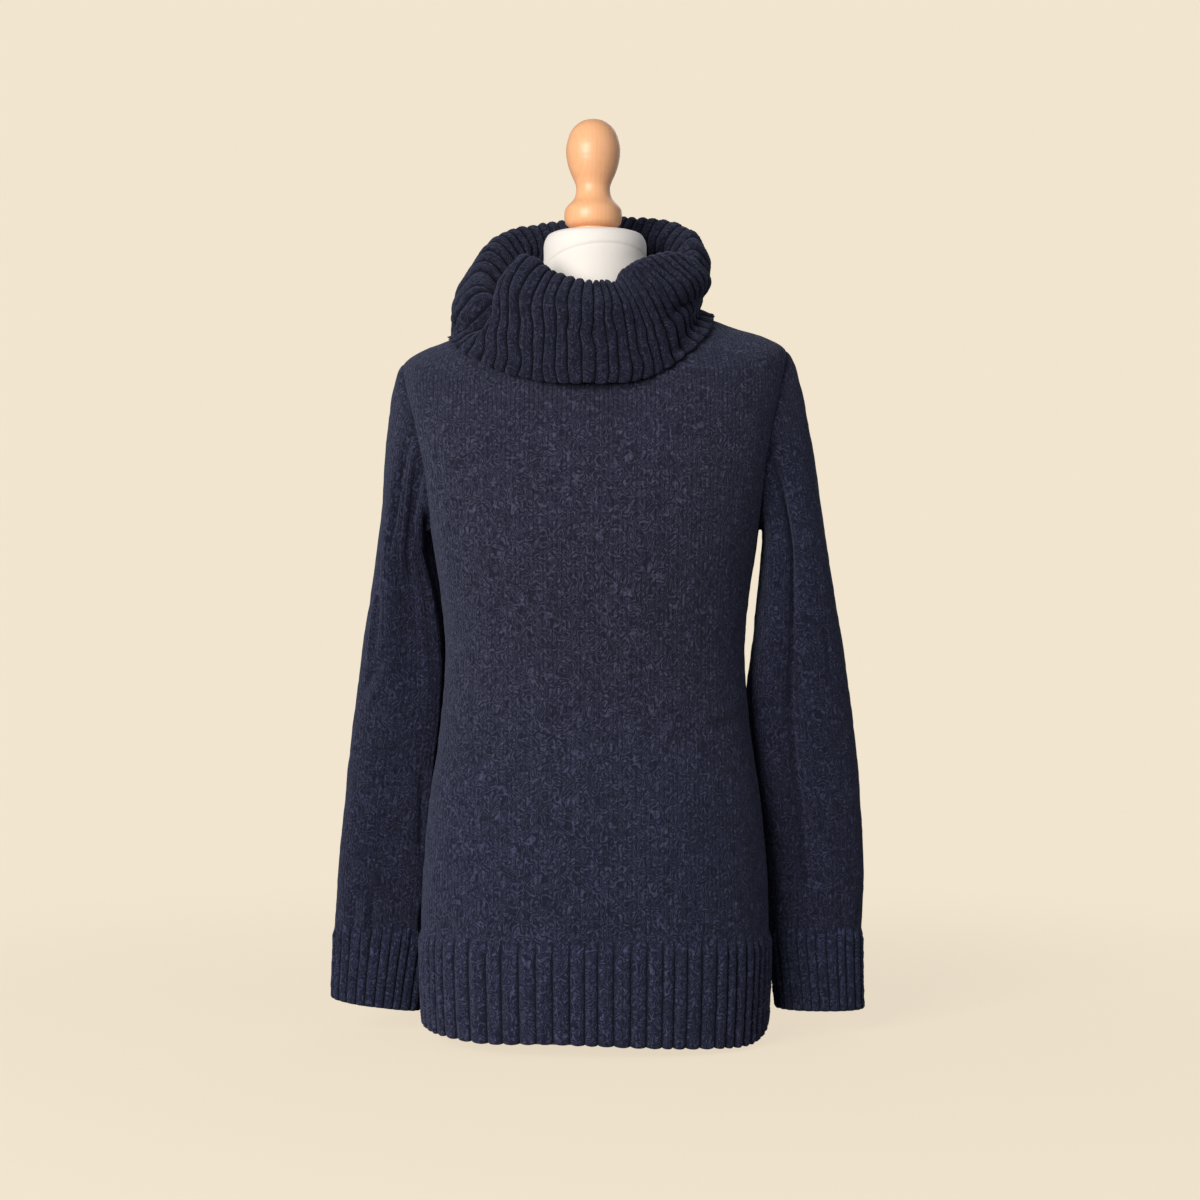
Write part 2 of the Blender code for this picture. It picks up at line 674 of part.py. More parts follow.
def collar_keys(deg):
    """The seven points that the knit passes through, from the neck seam to its edge."""
    read = {
        name: smooth_round(deg, COLLAR["edge_deg"], COLLAR[name])
        for name in COLLAR
        if name != "edge_deg"
    }
    seam = neck_edge(deg)
    crest_deg = deg + read["crest_turn"]
    roll = read["roll"]
    rim = polar(read["crest_r"] - roll, crest_deg, read["crest_z"] - roll)
    crest = polar(read["crest_r"], crest_deg, read["crest_z"])
    brow_deg = deg + 0.8 * read["crest_turn"]
    brow = polar(read["crest_r"] + roll, brow_deg, read["crest_z"] - roll)
    fall_deg = deg + 0.35 * read["crest_turn"]
    fall_z = 0.42 * read["crest_z"] + 0.58 * read["edge_z"]
    fall = polar(read["fall_r"], fall_deg, fall_z)
    edge = polar(read["edge_r"], deg, read["edge_z"])
    stand = seam * 0.5 + rim * 0.5
    return [seam, stand, rim, crest, brow, fall, edge]


COLLAR_KEY_PLACES = np.array([0.0, 0.22, 0.43, 0.51, 0.59, 0.80, 1.0])


def collar_smooth_point(along, deg):
    """A point of the collar's middle line at that share of the knit's length."""
    along, deg = np.broadcast_arrays(along, deg)
    keys = np.stack(collar_keys(deg))
    slopes = np.gradient(keys, COLLAR_KEY_PLACES, axis=0)
    at = np.clip(along, 0, 1)
    i = np.searchsorted(COLLAR_KEY_PLACES, at, side="right") - 1
    i = np.clip(i, 0, len(COLLAR_KEY_PLACES) - 2)
    span = COLLAR_KEY_PLACES[i + 1] - COLLAR_KEY_PLACES[i]
    t = ((at - COLLAR_KEY_PLACES[i]) / span)[..., None]
    span = span[..., None]

    def pick(stack, index):
        return np.take_along_axis(stack, index[None, ..., None], axis=0)[0]

    start, end = pick(keys, i), pick(keys, i + 1)
    rise = end - start
    bend_in = pick(slopes, i) * span - rise
    bend_out = rise - pick(slopes, i + 1) * span
    return start + t * rise + t * (1 - t) * (bend_in * (1 - t) + bend_out * t)


def collar_frame(along, deg):
    """Points on the hidden face of the folded knit, and its showing direction."""
    along, deg = np.broadcast_arrays(along, deg)
    safe = np.clip(along, 0.004, 0.996)
    showing = normals_of(collar_smooth_point, safe, deg, 0.003, 0.3)
    seam_normal = -body_normal(np.full_like(deg, NECKLINE), np.radians(deg - 90))
    showing = unit(mix(seam_normal, showing, ease_between(along, 0, 0.12)))
    points = collar_smooth_point(along, deg)
    push = np.zeros(deg.shape)
    for where, place, half_turn, half_along, depth in zip(*COLLAR_DENTS.values()):
        away = (deg - where + 180) % 360 - 180
        push += depth * bell(away / half_turn) * bell((along - place) / half_along)
    return points + showing * push[..., None], showing


def build_collar(name, knit):
    rows = np.array(COLLAR_ROWS)
    wide = COLLAR_RIBS * POINTS_PER_RIB
    slim_deg = np.arange(COLLAR_RIBS) * 360 / COLLAR_RIBS
    wide_deg = np.arange(wide) * 360 / wide
    along, deg = np.meshgrid(rows, slim_deg, indexing="ij")
    lying = body_tree(0.56, NECKLINE)
    hidden, _ = collar_frame(along, deg)
    hidden += push_clear(hidden, REST_GAP * (along > 0.6), lying)
    along, deg = np.meshgrid(rows, wide_deg, indexing="ij")
    showing, direction = collar_frame(along, deg)
    showing += push_clear(showing, REST_GAP * (along > 0.6), lying)
    fade = 1 - 0.3 * ease_between(rows, 0.93, 1) - ease_between(0.10 - rows, 0, 0.10)
    lift = RIB_WALL + fade[:, None] * rib_relief(COLLAR_RIBS)[None, :]
    showing = showing + direction * lift[..., None]
    return add_object(name, wall_mesh(name, showing, hidden, closed=True), knit)


# ---------------------------------------------------------------- the dress form


def form_rings():
    """Rings of the padded torso, from its rounded foot to the top of its neck."""
    thetas = np.arange(2 * PANEL_COLUMNS) * math.pi / PANEL_COLUMNS

    def under_cloth(side_z):
        ease = smooth(side_z, BODY["side_z"], BODY["ease"])
        levels = np.full_like(thetas, side_z)
        inward = body_normal(levels, thetas) * (KNIT_WALL + ease)
        return body_point(levels, thetas) - inward

    full = under_cloth(FORM_FOOT_HEIGHT)
    towards_y = np.where(full[:, 1] < 0, FORM_FOOT_SCALE["front"], FORM_FOOT_SCALE["back"])
    foot = np.stack([np.full_like(towards_y, FORM_FOOT_SCALE["side"]), towards_y], -1)
    rings = []
    for turn in np.radians((0, 15, 30, 45, 62, 90)):
        ring = full.copy()
        ring[:, :2] *= foot + (1 - foot) * math.sin(turn)
        ring[:, 2] = FORM_FOOT_HEIGHT * (1 - math.cos(turn))
        rings.append(ring)
    beside = [0.115, 0.17, 0.23, 0.30, 0.36, 0.42, 0.47, 0.51, 0.55, 0.60, 0.64, 0.67, 0.69]
    levels = np.concatenate([beside, shoulder_levels()])
    rings += [under_cloth(z) for z in levels]
    neck_top = FORM_NECK["side_z"][-1]
    for side_z in (*FORM_NECK["side_z"][:-1], neck_top):
        rings.append(level_point(FORM_NECK, np.full_like(thetas, side_z), thetas))
    for ring in rings[-4:]:
        ring[:, 2] = ring[:, 2].mean()  # the neck's top is level
    rings[-1][:, 2] = KNOB_SEAT
    return rings


def stack_rings(name, rings):
    """A closed solid through the rings, with flat ends."""
    body = bmesh.new()
    loops = [[body.verts.new(p) for p in ring] for ring in rings]
    for low, high in zip(loops, loops[1:]):
        for i in range(len(low)):
            j = (i + 1) % len(low)
            body.faces.new((low[i], low[j], high[j], high[i]))
    body.faces.new(loops[0][::-1])
    body.faces.new(loops[-1])
    mesh = bpy.data.meshes.new(name)
    body.to_mesh(mesh)
    body.free()
    return mesh


def build_knob(name, wood):
    turns = np.arange(KNOB_SIDES) * 2 * math.pi / KNOB_SIDES
    seat = KNOB_SEAT + SEAM_GAP
    rings = []
    for height, radius in zip(KNOB["height"][:-1], KNOB["radius"][:-1]):
        ring = np.stack([KNOB_X + radius * np.cos(turns), radius * np.sin(turns), turns * 0], -1)
        ring[:, 2] = seat + height
        rings.append(ring)
    return add_object(name, stack_rings(name, rings), wood)


# ----------------------------------------------------------------------- build


def build_all():
    for old in list(bpy.data.objects):
        bpy.data.objects.remove(old)
    navy = material("navy_knit", (0.028, 0.030, 0.050), 0.95)
    navy_rib = material("navy_rib_knit", (0.024, 0.027, 0.047), 0.95)
    jersey = material("form_jersey", (0.86, 0.81, 0.75), 0.8)
    beech = material("knob_beech", (0.78, 0.46, 0.22), 0.45)

    build_body_panel("body_front", -1, navy)
    build_body_panel("body_back", 1, navy)
    build_hem_rib("hem_rib_front", -1, navy_rib)
    build_hem_rib("hem_rib_back", 1, navy_rib)
    for side, word in ((1, "left"), (-1, "right")):
        build_sleeve(f"sleeve_{word}", side, navy)
        build_cuff(f"cuff_{word}", side, navy_rib)
    build_collar("collar", navy_rib)
    add_object("form_torso", stack_rings("form_torso", form_rings()), jersey)
    build_knob("form_knob", beech)


build_all()
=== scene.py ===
# %% [markdown]
# # A chunky turtleneck sweater on a dress form
# The real object is a sweater knitted from thick, fuzzy, marled navy yarn.  It is worn
# by a jersey-covered torso that has no limbs and carries a turned wooden knob.
# Every piece that a knitter would make becomes a mesh of its own here: two panels, two
# sleeves, a folded collar, two hem ribs and two cuffs.  A sculpted block would be
# quicker to make, but it would have no edges, no inside and no map of its stitches.
# So each piece is a thin closed wall.  Units are metres, +Z is up and -Y is the front.

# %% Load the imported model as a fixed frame
import math

import bmesh
import bpy
import numpy as np
from mathutils import Matrix, Vector
from mathutils.bvhtree import BVHTree


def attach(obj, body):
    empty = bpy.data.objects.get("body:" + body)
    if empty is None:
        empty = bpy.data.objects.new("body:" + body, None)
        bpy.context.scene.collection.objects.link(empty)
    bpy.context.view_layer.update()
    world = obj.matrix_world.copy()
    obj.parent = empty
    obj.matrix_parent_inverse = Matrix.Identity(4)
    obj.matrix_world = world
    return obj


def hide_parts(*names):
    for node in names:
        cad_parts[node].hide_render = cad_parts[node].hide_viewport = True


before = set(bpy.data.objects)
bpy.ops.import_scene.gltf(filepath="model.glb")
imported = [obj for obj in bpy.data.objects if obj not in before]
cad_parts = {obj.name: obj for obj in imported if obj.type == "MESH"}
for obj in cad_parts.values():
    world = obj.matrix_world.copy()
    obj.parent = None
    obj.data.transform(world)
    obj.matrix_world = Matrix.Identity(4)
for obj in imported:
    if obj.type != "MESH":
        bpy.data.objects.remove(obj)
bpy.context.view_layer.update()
print("nodes of the frame:", ", ".join(sorted(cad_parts)))

# %% [markdown]
# ## Curves and soft steps
# A worn sweater has no straight lines.  Its shape can be drawn by a sculptor, found by
# a cloth simulation, or read from short tables of measured widths and depths.  Tables
# are used here, because each number can be checked against the picture and changed
# alone.  A smooth curve through the table's points gives any height in between.

# %% Helpers for tables and smooth curves
def columns(names, rows):
    """Named columns of numbers, from a table that is written as plain rows."""
    numbers = np.array([row.split() for row in rows.strip().splitlines()], float)
    return dict(zip(names.split(), numbers.T))


def smooth(at, xs, ys):
    """The smooth curve through the points (xs, ys), read at each value of at."""
    at = np.clip(np.asarray(at, float), xs[0], xs[-1])
    slopes = np.gradient(ys, xs)
    i = np.clip(np.searchsorted(xs, at, side="right") - 1, 0, len(xs) - 2)
    span = xs[i + 1] - xs[i]
    t = (at - xs[i]) / span
    rise = ys[i + 1] - ys[i]
    bend_in = slopes[i] * span - rise
    bend_out = -slopes[i + 1] * span + rise
    return ys[i] + t * rise + t * (1 - t) * (bend_in * (1 - t) + bend_out * t)


def read_off(table, key, at):
    """Every column of a table, at those values of its key column."""
    return {name: smooth(at, table[key], table[name]) for name in table}


def smooth_round(deg, stations, values):
    """The same curve on a closed ring of stations given in degrees."""
    xs = np.concatenate([stations[-3:] - 360, stations, stations[:3] + 360])
    ys = np.concatenate([values[-3:], values, values[:3]])
    wrapped = (np.asarray(deg, float) - stations[0]) % 360 + stations[0]
    return smooth(wrapped, xs, ys)


def ease_between(at, low, high):
    """0 below low, 1 above high and a soft step between them."""
    t = np.clip((np.asarray(at) - low) / (high - low), 0, 1)
    return t * t * (3 - 2 * t)


def bell(distance):
    return np.exp(-np.square(distance))


def angle_from(deg, start):
    """The turn from start to deg, -180 to 180 degrees."""
    return (deg - start + 180) % 360 - 180


def powered(value, power):
    """A power that keeps the sign; below 1 it squares up a round section."""
    return np.sign(value) * np.abs(value) ** power


def unit(vectors):
    return vectors / np.linalg.norm(vectors, axis=-1, keepdims=True)


def mix(a, b, share):
    share = np.asarray(share)[..., None]
    return a * (1 - share) + b * share


def normals_of(surface, a, b, step_a, step_b):
    """Unit normals of surface(a, b), from points a small step to each side."""
    along_a = surface(a + step_a, b) - surface(a - step_a, b)
    along_b = surface(a, b + step_b) - surface(a, b - step_b)
    return unit(np.cross(along_a, along_b))


print("a soft step at its quarters:", ease_between([0.25, 0.5, 0.75], 0, 1).tolist())

# %% [markdown]
# ## Unevenness that is the same on every run
# No two stitches of a washed hand knit are alike.  Blender's noise texture could push
# the surface about in a modifier, but the piece's final mesh should hold its own
# lumps.  So the noise is a small block of random numbers with a fixed seed, read
# smoothly at each point of the cloth, and the points themselves are moved.

# %% A helper for soft random lumps
LATTICE_CELLS = 32


def soft_noise(points, size, seed):
    """Smooth lumps about size metres wide, from -1 to 1."""
    cells = np.random.default_rng(seed).uniform(-1, 1, (LATTICE_CELLS,) * 3)
    at = points / size
    low = np.floor(at).astype(int)
    t = at - low
    t = t * t * (3 - 2 * t)
    total = np.zeros(points.shape[:-1])
    for corner in np.ndindex(2, 2, 2):
        corner = np.array(corner)
        x, y, z = np.moveaxis((low + corner) % LATTICE_CELLS, -1, 0)
        total += cells[x, y, z] * np.prod(np.where(corner, t, 1 - t), axis=-1)
    return total


def knit_lumps(points):
    """How far a plain knit stands up or sinks at each point, in metres."""
    broad = 0.0008 * soft_noise(points, 0.050, seed=3)
    middle = 0.0005 * soft_noise(points, 0.016, seed=4)
    fine = 0.0003 * soft_noise(points, 0.006, seed=5)
    return broad + middle + fine


print("random lattice:", LATTICE_CELLS, "cells a side")

# %% [markdown]
# ## A thin closed wall
# A knitted piece has a showing face, a hidden face and edges.  Blender's Solidify
# modifier could thicken a single sheet, but here the hidden face is plain and the
# showing one is ribbed.  So both faces are grids of their own, and a zip of triangles
# closes each edge.  Two maps go with them: "knit" counts stitches and rows for the
# yarn's material, and "OFBake" lays every face flat, side by side, without overlaps.

# %% Helpers that build a wall from two grids of points
STITCH_WIDTH = 0.0046
ROW_HEIGHT = 0.0034
SHOWING_MAP = (0.0, 0.66)  # share of the flat map's width for each face
HIDDEN_MAP = (0.68, 0.94)
RIM_MAP = (0.95, 0.99)
MAP_MARGIN = 0.005  # kept free at the flat map's bottom and top
RIM_STRIP_FILL = 0.8
SHARP_EDGE = math.radians(50)


def grid_quads(rows, wide, closed, first):
    """Corner numbers of a grid's faces, and their places in the grid."""
    spans = wide if closed else wide - 1
    r, c = np.meshgrid(np.arange(rows - 1), np.arange(spans), indexing="ij")
    r, c = r.ravel(), c.ravel()
    places = np.stack([[r, c], [r, c + 1], [r + 1, c + 1], [r + 1, c]]).transpose(2, 0, 1)
    return first + places[..., 0] * wide + places[..., 1] % wide, places


def map_height(share):
    return MAP_MARGIN + (1 - 2 * MAP_MARGIN) * share


def flat_places(places, rows, spans, across):
    """Where grid places lie in the flat map, within its share of the width."""
    x = across[0] + (across[1] - across[0]) * places[..., 1] / spans
    return np.stack([x, map_height(places[..., 0] / (rows - 1))], -1).reshape(-1, 2)


def zip_edges(a, b):
    """Triangles between two edges, each a list of corner numbers, run side by side."""
    i = j = 0
    faces, runs = [], []
    while i < len(a) - 1 or j < len(b) - 1:
        next_a = (i + 1) / (len(a) - 1) if i < len(a) - 1 else 2
        next_b = (j + 1) / (len(b) - 1) if j < len(b) - 1 else 2
        at_a, at_b = i / (len(a) - 1), j / (len(b) - 1)
        if next_a <= next_b:
            faces.append((a[i], a[i + 1], b[j]))
            runs.append(((0, at_a), (0, next_a), (1, at_b)))
            i += 1
        else:
            faces.append((a[i], b[j + 1], b[j]))
            runs.append(((0, at_a), (1, next_b), (1, at_b)))
            j += 1
    return faces, np.array(runs)


print("a stitch is", STITCH_WIDTH, "m wide and", ROW_HEIGHT, "m high")


# %% Helpers for maps and new objects
def run_along(points, axis):
    """Distance run along a grid or line, from its first row or column."""
    steps = np.linalg.norm(np.diff(points, axis=axis), axis=-1)
    start = np.zeros_like(np.take(steps, [0], axis=axis))
    return np.concatenate([start, np.cumsum(steps, axis=axis)], axis=axis)


def looped(grid):
    """A closed ring's grid, with its first column repeated at the end."""
    return np.concatenate([grid, grid[:, :1]], axis=1)


def stitch_map(across, up):
    return np.stack(np.broadcast_arrays(across, up), -1)


def new_object(name, data):
    made = bpy.data.objects.new(name, data)
    bpy.context.scene.collection.objects.link(made)
    return made


def add_piece(name, points, faces, flat, stitches, finish):
    """A mesh with both maps, its faces turned outwards, smooth but for sharp edges."""
    mesh = bpy.data.meshes.new(name)
    mesh.from_pydata(points.reshape(-1, 3).tolist(), [], faces)
    for layer, values in (("OFBake", flat), ("knit", stitches)):
        made = mesh.uv_layers.new(name=layer)
        made.data.foreach_set("uv", np.concatenate(values).astype(np.float32).ravel())
    tidy = bmesh.new()
    tidy.from_mesh(mesh)
    bmesh.ops.recalc_face_normals(tidy, faces=tidy.faces)
    tidy.to_mesh(mesh)
    tidy.free()
    mesh.shade_smooth()
    mesh.set_sharp_from_angle(angle=SHARP_EDGE)
    mesh.materials.append(finish)
    count = sum(len(face.vertices) - 2 for face in mesh.polygons)
    print(f"{name}: {count} triangles")
    return new_object(name, mesh)


print("edges above", round(math.degrees(SHARP_EDGE)), "degrees stay sharp")


# %% The wall itself
def wall(name, outer, inner, knit, closed, finish):
    """One closed piece between an outer and an inner grid, [row, column, xyz].

    knit is [row, column, (stitches, rows)] for the outer grid, with the first column
    repeated at its end where the piece runs round into a ring.
    """
    rows, wide, _ = outer.shape
    rows_in, wide_in, _ = inner.shape
    first_in = rows * wide
    quads, places = grid_quads(rows, wide, closed, 0)
    quads_in, places_in = grid_quads(rows_in, wide_in, closed, first_in)
    faces = quads.tolist() + quads_in.tolist()
    spans, spans_in = places[..., 1].max(), places_in[..., 1].max()
    flat = [
        flat_places(places, rows, spans, SHOWING_MAP),
        flat_places(places_in, rows_in, spans_in, HIDDEN_MAP),
    ]
    near_row = np.rint(places_in[..., 0] * (rows - 1) / (rows_in - 1)).astype(int)
    near_column = np.rint(places_in[..., 1] * spans / spans_in).astype(int)
    stitches = [
        knit[places[..., 0], places[..., 1]].reshape(-1, 2),
        knit[near_row, near_column].reshape(-1, 2),
    ]

    round_out = np.arange(spans + 1) % wide
    round_in = np.arange(spans_in + 1) % wide_in
    last, last_in = (rows - 1) * wide, first_in + (rows_in - 1) * wide_in
    edges = [
        (round_out, first_in + round_in, knit[0]),
        (last + round_out, last_in + round_in, knit[-1]),
    ]
    if not closed:
        up, up_in = np.arange(rows) * wide, first_in + np.arange(rows_in) * wide_in
        edges.append((up, up_in, knit[:, 0]))
        edges.append((up + wide - 1, up_in + wide_in - 1, knit[:, -1]))
    strip = (RIM_MAP[1] - RIM_MAP[0]) / len(edges)
    for number, (edge, edge_in, edge_knit) in enumerate(edges):
        rim, runs = zip_edges(edge.tolist(), edge_in.tolist())
        faces += rim
        x = RIM_MAP[0] + strip * (number + RIM_STRIP_FILL * runs[..., 0])
        flat.append(np.stack([x, map_height(runs[..., 1])], -1).reshape(-1, 2))
        at = np.rint(runs[..., 1] * (len(edge_knit) - 1)).astype(int)
        stitches.append(edge_knit[at].reshape(-1, 2))

    points = np.concatenate([outer.reshape(-1, 3), inner.reshape(-1, 3)])
    return add_piece(name, points, faces, flat, stitches, finish)


print("shares of the flat map:", SHOWING_MAP, HIDDEN_MAP, RIM_MAP)

# %% [markdown]
# ## Shader building blocks
# A material in Blender is a small graph of nodes.  It could be wired by hand in the
# editor, or from a picture of cloth.  Here each graph is written as short lines of
# code, so that it can be read from top to bottom.  "put" adds a node and wires or
# sets its inputs, "calc" adds one step of arithmetic and "weigh" adds masks up.

# %% Helpers for nodes
MIX_SHARE, MIX_A, MIX_B, MIX_RESULT = 0, 6, 7, 2  # a Mix node's sockets for colours


def wire(tree, node, inputs):
    """Sets a node's inputs to plain values, or wires them to another node's output."""
    for name, value in inputs.items():
        if isinstance(value, bpy.types.NodeSocket):
            tree.links.new(value, node.inputs[name])
        else:
            node.inputs[name].default_value = value


def put(tree, kind, inputs=None, **settings):
    made = tree.nodes.new(kind)
    for name, value in settings.items():
        setattr(made, name, value)
    wire(tree, made, inputs or {})
    return made


def calc(tree, operation, *values):
    """The output of a Math node over up to three values."""
    return put(tree, "ShaderNodeMath", dict(enumerate(values)), operation=operation).outputs[0]


def times(tree, a, b):
    return calc(tree, "MULTIPLY", a, b)


def weigh(tree, *parts, start=0.0):
    """The start plus each mask times its own weight."""
    for mask, weight in parts:
        start = calc(tree, "MULTIPLY_ADD", mask, weight, start)
    return start


def off_centre(tree, value):
    """How far the fraction of a value lies from one half."""
    fraction = calc(tree, "FRACT", value)
    return calc(tree, "ABSOLUTE", calc(tree, "SUBTRACT", fraction, 0.5))


def vector_calc(tree, operation, *values):
    inputs = dict(enumerate(values))
    return put(tree, "ShaderNodeVectorMath", inputs, operation=operation).outputs[0]


def scaled(tree, vector, factor):
    inputs = {0: vector, "Scale": factor}
    return put(tree, "ShaderNodeVectorMath", inputs, operation="SCALE").outputs[0]


def xyz(tree, vector):
    return put(tree, "ShaderNodeSeparateXYZ", {0: vector}).outputs


def soft_step(tree, value, low, high):
    """0 below low, 1 above high and a soft step between, as a shader node."""
    inputs = {"Value": value, "From Min": low, "From Max": high}
    return put(tree, "ShaderNodeMapRange", inputs, interpolation_type="SMOOTHSTEP").outputs[0]


def noise(tree, place, scale, detail=2.0, warp=0.0):
    """Soft noise from 0 to 1, about 1/scale metres wide."""
    inputs = {"Vector": place, "Scale": scale, "Detail": detail, "Distortion": warp}
    return put(tree, "ShaderNodeTexNoise", inputs).outputs["Fac"]


def blend_colors(tree, share, a, b):
    """The colour between a and b, by share; a and b are colours or outputs."""
    a, b = ((*color, 1) if isinstance(color, tuple) else color for color in (a, b))
    inputs = {MIX_SHARE: share, MIX_A: a, MIX_B: b}
    return put(tree, "ShaderNodeMix", inputs, data_type="RGBA").outputs[MIX_RESULT]


print("a Mix node's sockets for colours:", MIX_SHARE, MIX_A, MIX_B, MIX_RESULT)


# %% Helpers for node groups
FLOAT, VECTOR = "NodeSocketFloat", "NodeSocketVector"


def new_group(name, inputs, outputs):
    """An empty node group with those sockets, its input outputs and its end node."""
    group = bpy.data.node_groups.new(name, "ShaderNodeTree")
    for socket, kind, value in inputs:
        made = group.interface.new_socket(socket, in_out="INPUT", socket_type=kind)
        if value is not None:
            made.default_value = value
    for socket in outputs:
        group.interface.new_socket(socket, in_out="OUTPUT", socket_type=FLOAT)
    start = group.nodes.new("NodeGroupInput").outputs
    end = group.nodes.new("NodeGroupOutput")
    return group, start, end


def finish_group(group, end, results):
    wire(group, end, results)
    print(f"node group {group.name}: {len(group.nodes)} nodes")
    return group


def place_group(tree, group, inputs):
    """Puts a group into a material and gives its outputs."""
    return put(tree, "ShaderNodeGroup", inputs, node_tree=group).outputs


print("kinds of group sockets:", FLOAT, VECTOR)

# %% [markdown]
# ## Knit loops
# In plain knit every stitch shows as a small V, and each V sits in the one below.  Real
# loops could be modelled as curves, but a sweater has tens of thousands of them.
# The map "knit" counts stitches across and rows up, so the fraction of each number
# says where in a stitch a point lies.  Two leaning legs a stitch come from that.
# The group serves every finish of the yarn and the form's fine jersey.

# %% The node group of knit loops
LEG_LEAN = 1.5  # rows that a leg climbs across one stitch


def make_knit_loops():
    group, start, end = new_group(
        "knit_loops",
        [("Loops", VECTOR, None), ("Place", VECTOR, None),
         ("Uneven", FLOAT, 0.3), ("Uneven Scale", FLOAT, 120.0)],
        ["Relief", "Gap"],
    )
    inputs = {"Vector": start["Place"], "Scale": start["Uneven Scale"]}
    wobble = put(group, "ShaderNodeTexNoise", inputs).outputs["Color"]
    centred = vector_calc(group, "SUBTRACT", wobble, (0.5, 0.5, 0.5))
    moved = vector_calc(group, "ADD", start["Loops"], scaled(group, centred, start["Uneven"]))
    across, up, _ = xyz(group, moved)
    from_middle = off_centre(group, across)
    wale = soft_step(group, from_middle, 0.5, 0.16)
    climbed = calc(group, "SUBTRACT", up, times(group, from_middle, LEG_LEAN))
    leg = soft_step(group, off_centre(group, climbed), 0.5, 0.12)
    relief = times(group, wale, weigh(group, (leg, 0.5), start=0.5))
    gap = soft_step(group, relief, 0.35, 0.0)
    return finish_group(group, end, {"Relief": relief, "Gap": gap})


knit_loops = make_knit_loops()

# %% [markdown]
# ## Woolly pile
# The yarn is fuzzy: short curled fibres lie on the stitches in all directions, some of
# them pale, and the dye is a little uneven.  Hair particles could grow on the mesh,
# but they would not survive an export.  The thin bands between two heights of a
# smooth noise are curly lines, and a second noise breaks them into short strokes.

# %% The node group of woolly pile
def make_woolly_pile():
    group, start, end = new_group(
        "woolly_pile",
        [("Place", VECTOR, None), ("Curl Scale", FLOAT, 120.0),
         ("Turns", FLOAT, 5.0), ("Coverage", FLOAT, 0.66)],
        ["Strands", "Hollows", "Blotches", "Grain", "Flecks"],
    )
    place = start["Place"]
    tall = vector_calc(group, "MULTIPLY", place, (1.0, 1.0, 0.85))
    field = noise(group, tall, start["Curl Scale"], detail=0.0, warp=0.9)
    from_band = off_centre(group, times(group, field, start["Turns"]))
    band = soft_step(group, from_band, 0.26, 0.04)
    hollows = soft_step(group, from_band, 0.24, 0.46)
    breaks = noise(group, place, times(group, start["Curl Scale"], 1.9), detail=1.0)
    covered = soft_step(group, calc(group, "ADD", breaks, start["Coverage"]), 0.96, 1.20)
    fine = soft_step(group, noise(group, place, 340.0, detail=1.0), 0.36, 0.60)
    broken = weigh(group, (fine, 0.60), start=0.40)
    strands = times(group, times(group, band, covered), broken)
    blotches = noise(group, place, 42.0, detail=3.0)
    grain = noise(group, place, 780.0, detail=2.0)
    cells = put(group, "ShaderNodeTexVoronoi", {"Vector": place, "Scale": 125.0})
    flecks = soft_step(group, cells.outputs["Distance"], 0.13, 0.05)
    results = {"Strands": strands, "Hollows": hollows, "Blotches": blotches}
    return finish_group(group, end, results | {"Grain": grain, "Flecks": flecks})


woolly_pile = make_woolly_pile()

# %% [markdown]
# ## One yarn in five finishes
# The panels and sleeves are plain knit and the bands are ribbed, from one yarn.  The
# colour is a dark navy with paler and darker fibres.  It could be one flat colour
# under a bump map, but then the marl would vanish in soft light, so colour, roughness
# and relief all read the same masks.  The gaps between stitches and the hollows between
# fibres are painted darker, as painted shade.  Deep between the ribs the yarn is painted
# darker still: painted shade for the little light that gets there, and partly the
# packed fibres.  Each part has its own tint, which is painted light and shade: the
# sleeves, cuffs and collar are painted darker, as painted shade, and the hem is painted
# bluer.  The panels and sleeves change from one tint below to another above, painted
# darker and bluer lower down.

# %% The yarn materials
# NAVY_DEEP is the darker dye of the marl and also the colour of the painted shade.
NAVY = (0.0200, 0.0200, 0.0370)
NAVY_DEEP = (0.0065, 0.0066, 0.0135)
NAVY_PALE = (0.0660, 0.0660, 0.1080)
WALES_A_RIB = 2
THIN_PILE = (0.600, 0.650)  # heights between which the pile thins out
# Painted shade, and partly the packed fibres: the valleys between the ribs are darkened in
# colour.  DARKEST caps all painted shade of the yarn.
VALLEY_SHADE = (0.31, 0.47, 0.75)  # where a rib's valley starts and ends, and how dark it is
DARKEST = 0.92


def new_material(name):
    """A new material with its tree, its shader, the place and the place in the knit."""
    made = bpy.data.materials.new(name)
    made.use_nodes = True
    tree = made.node_tree
    place = put(tree, "ShaderNodeTexCoord").outputs["Object"]
    loops = put(tree, "ShaderNodeUVMap", uv_map="knit").outputs[0]
    return made, tree, tree.nodes["Principled BSDF"], place, loops


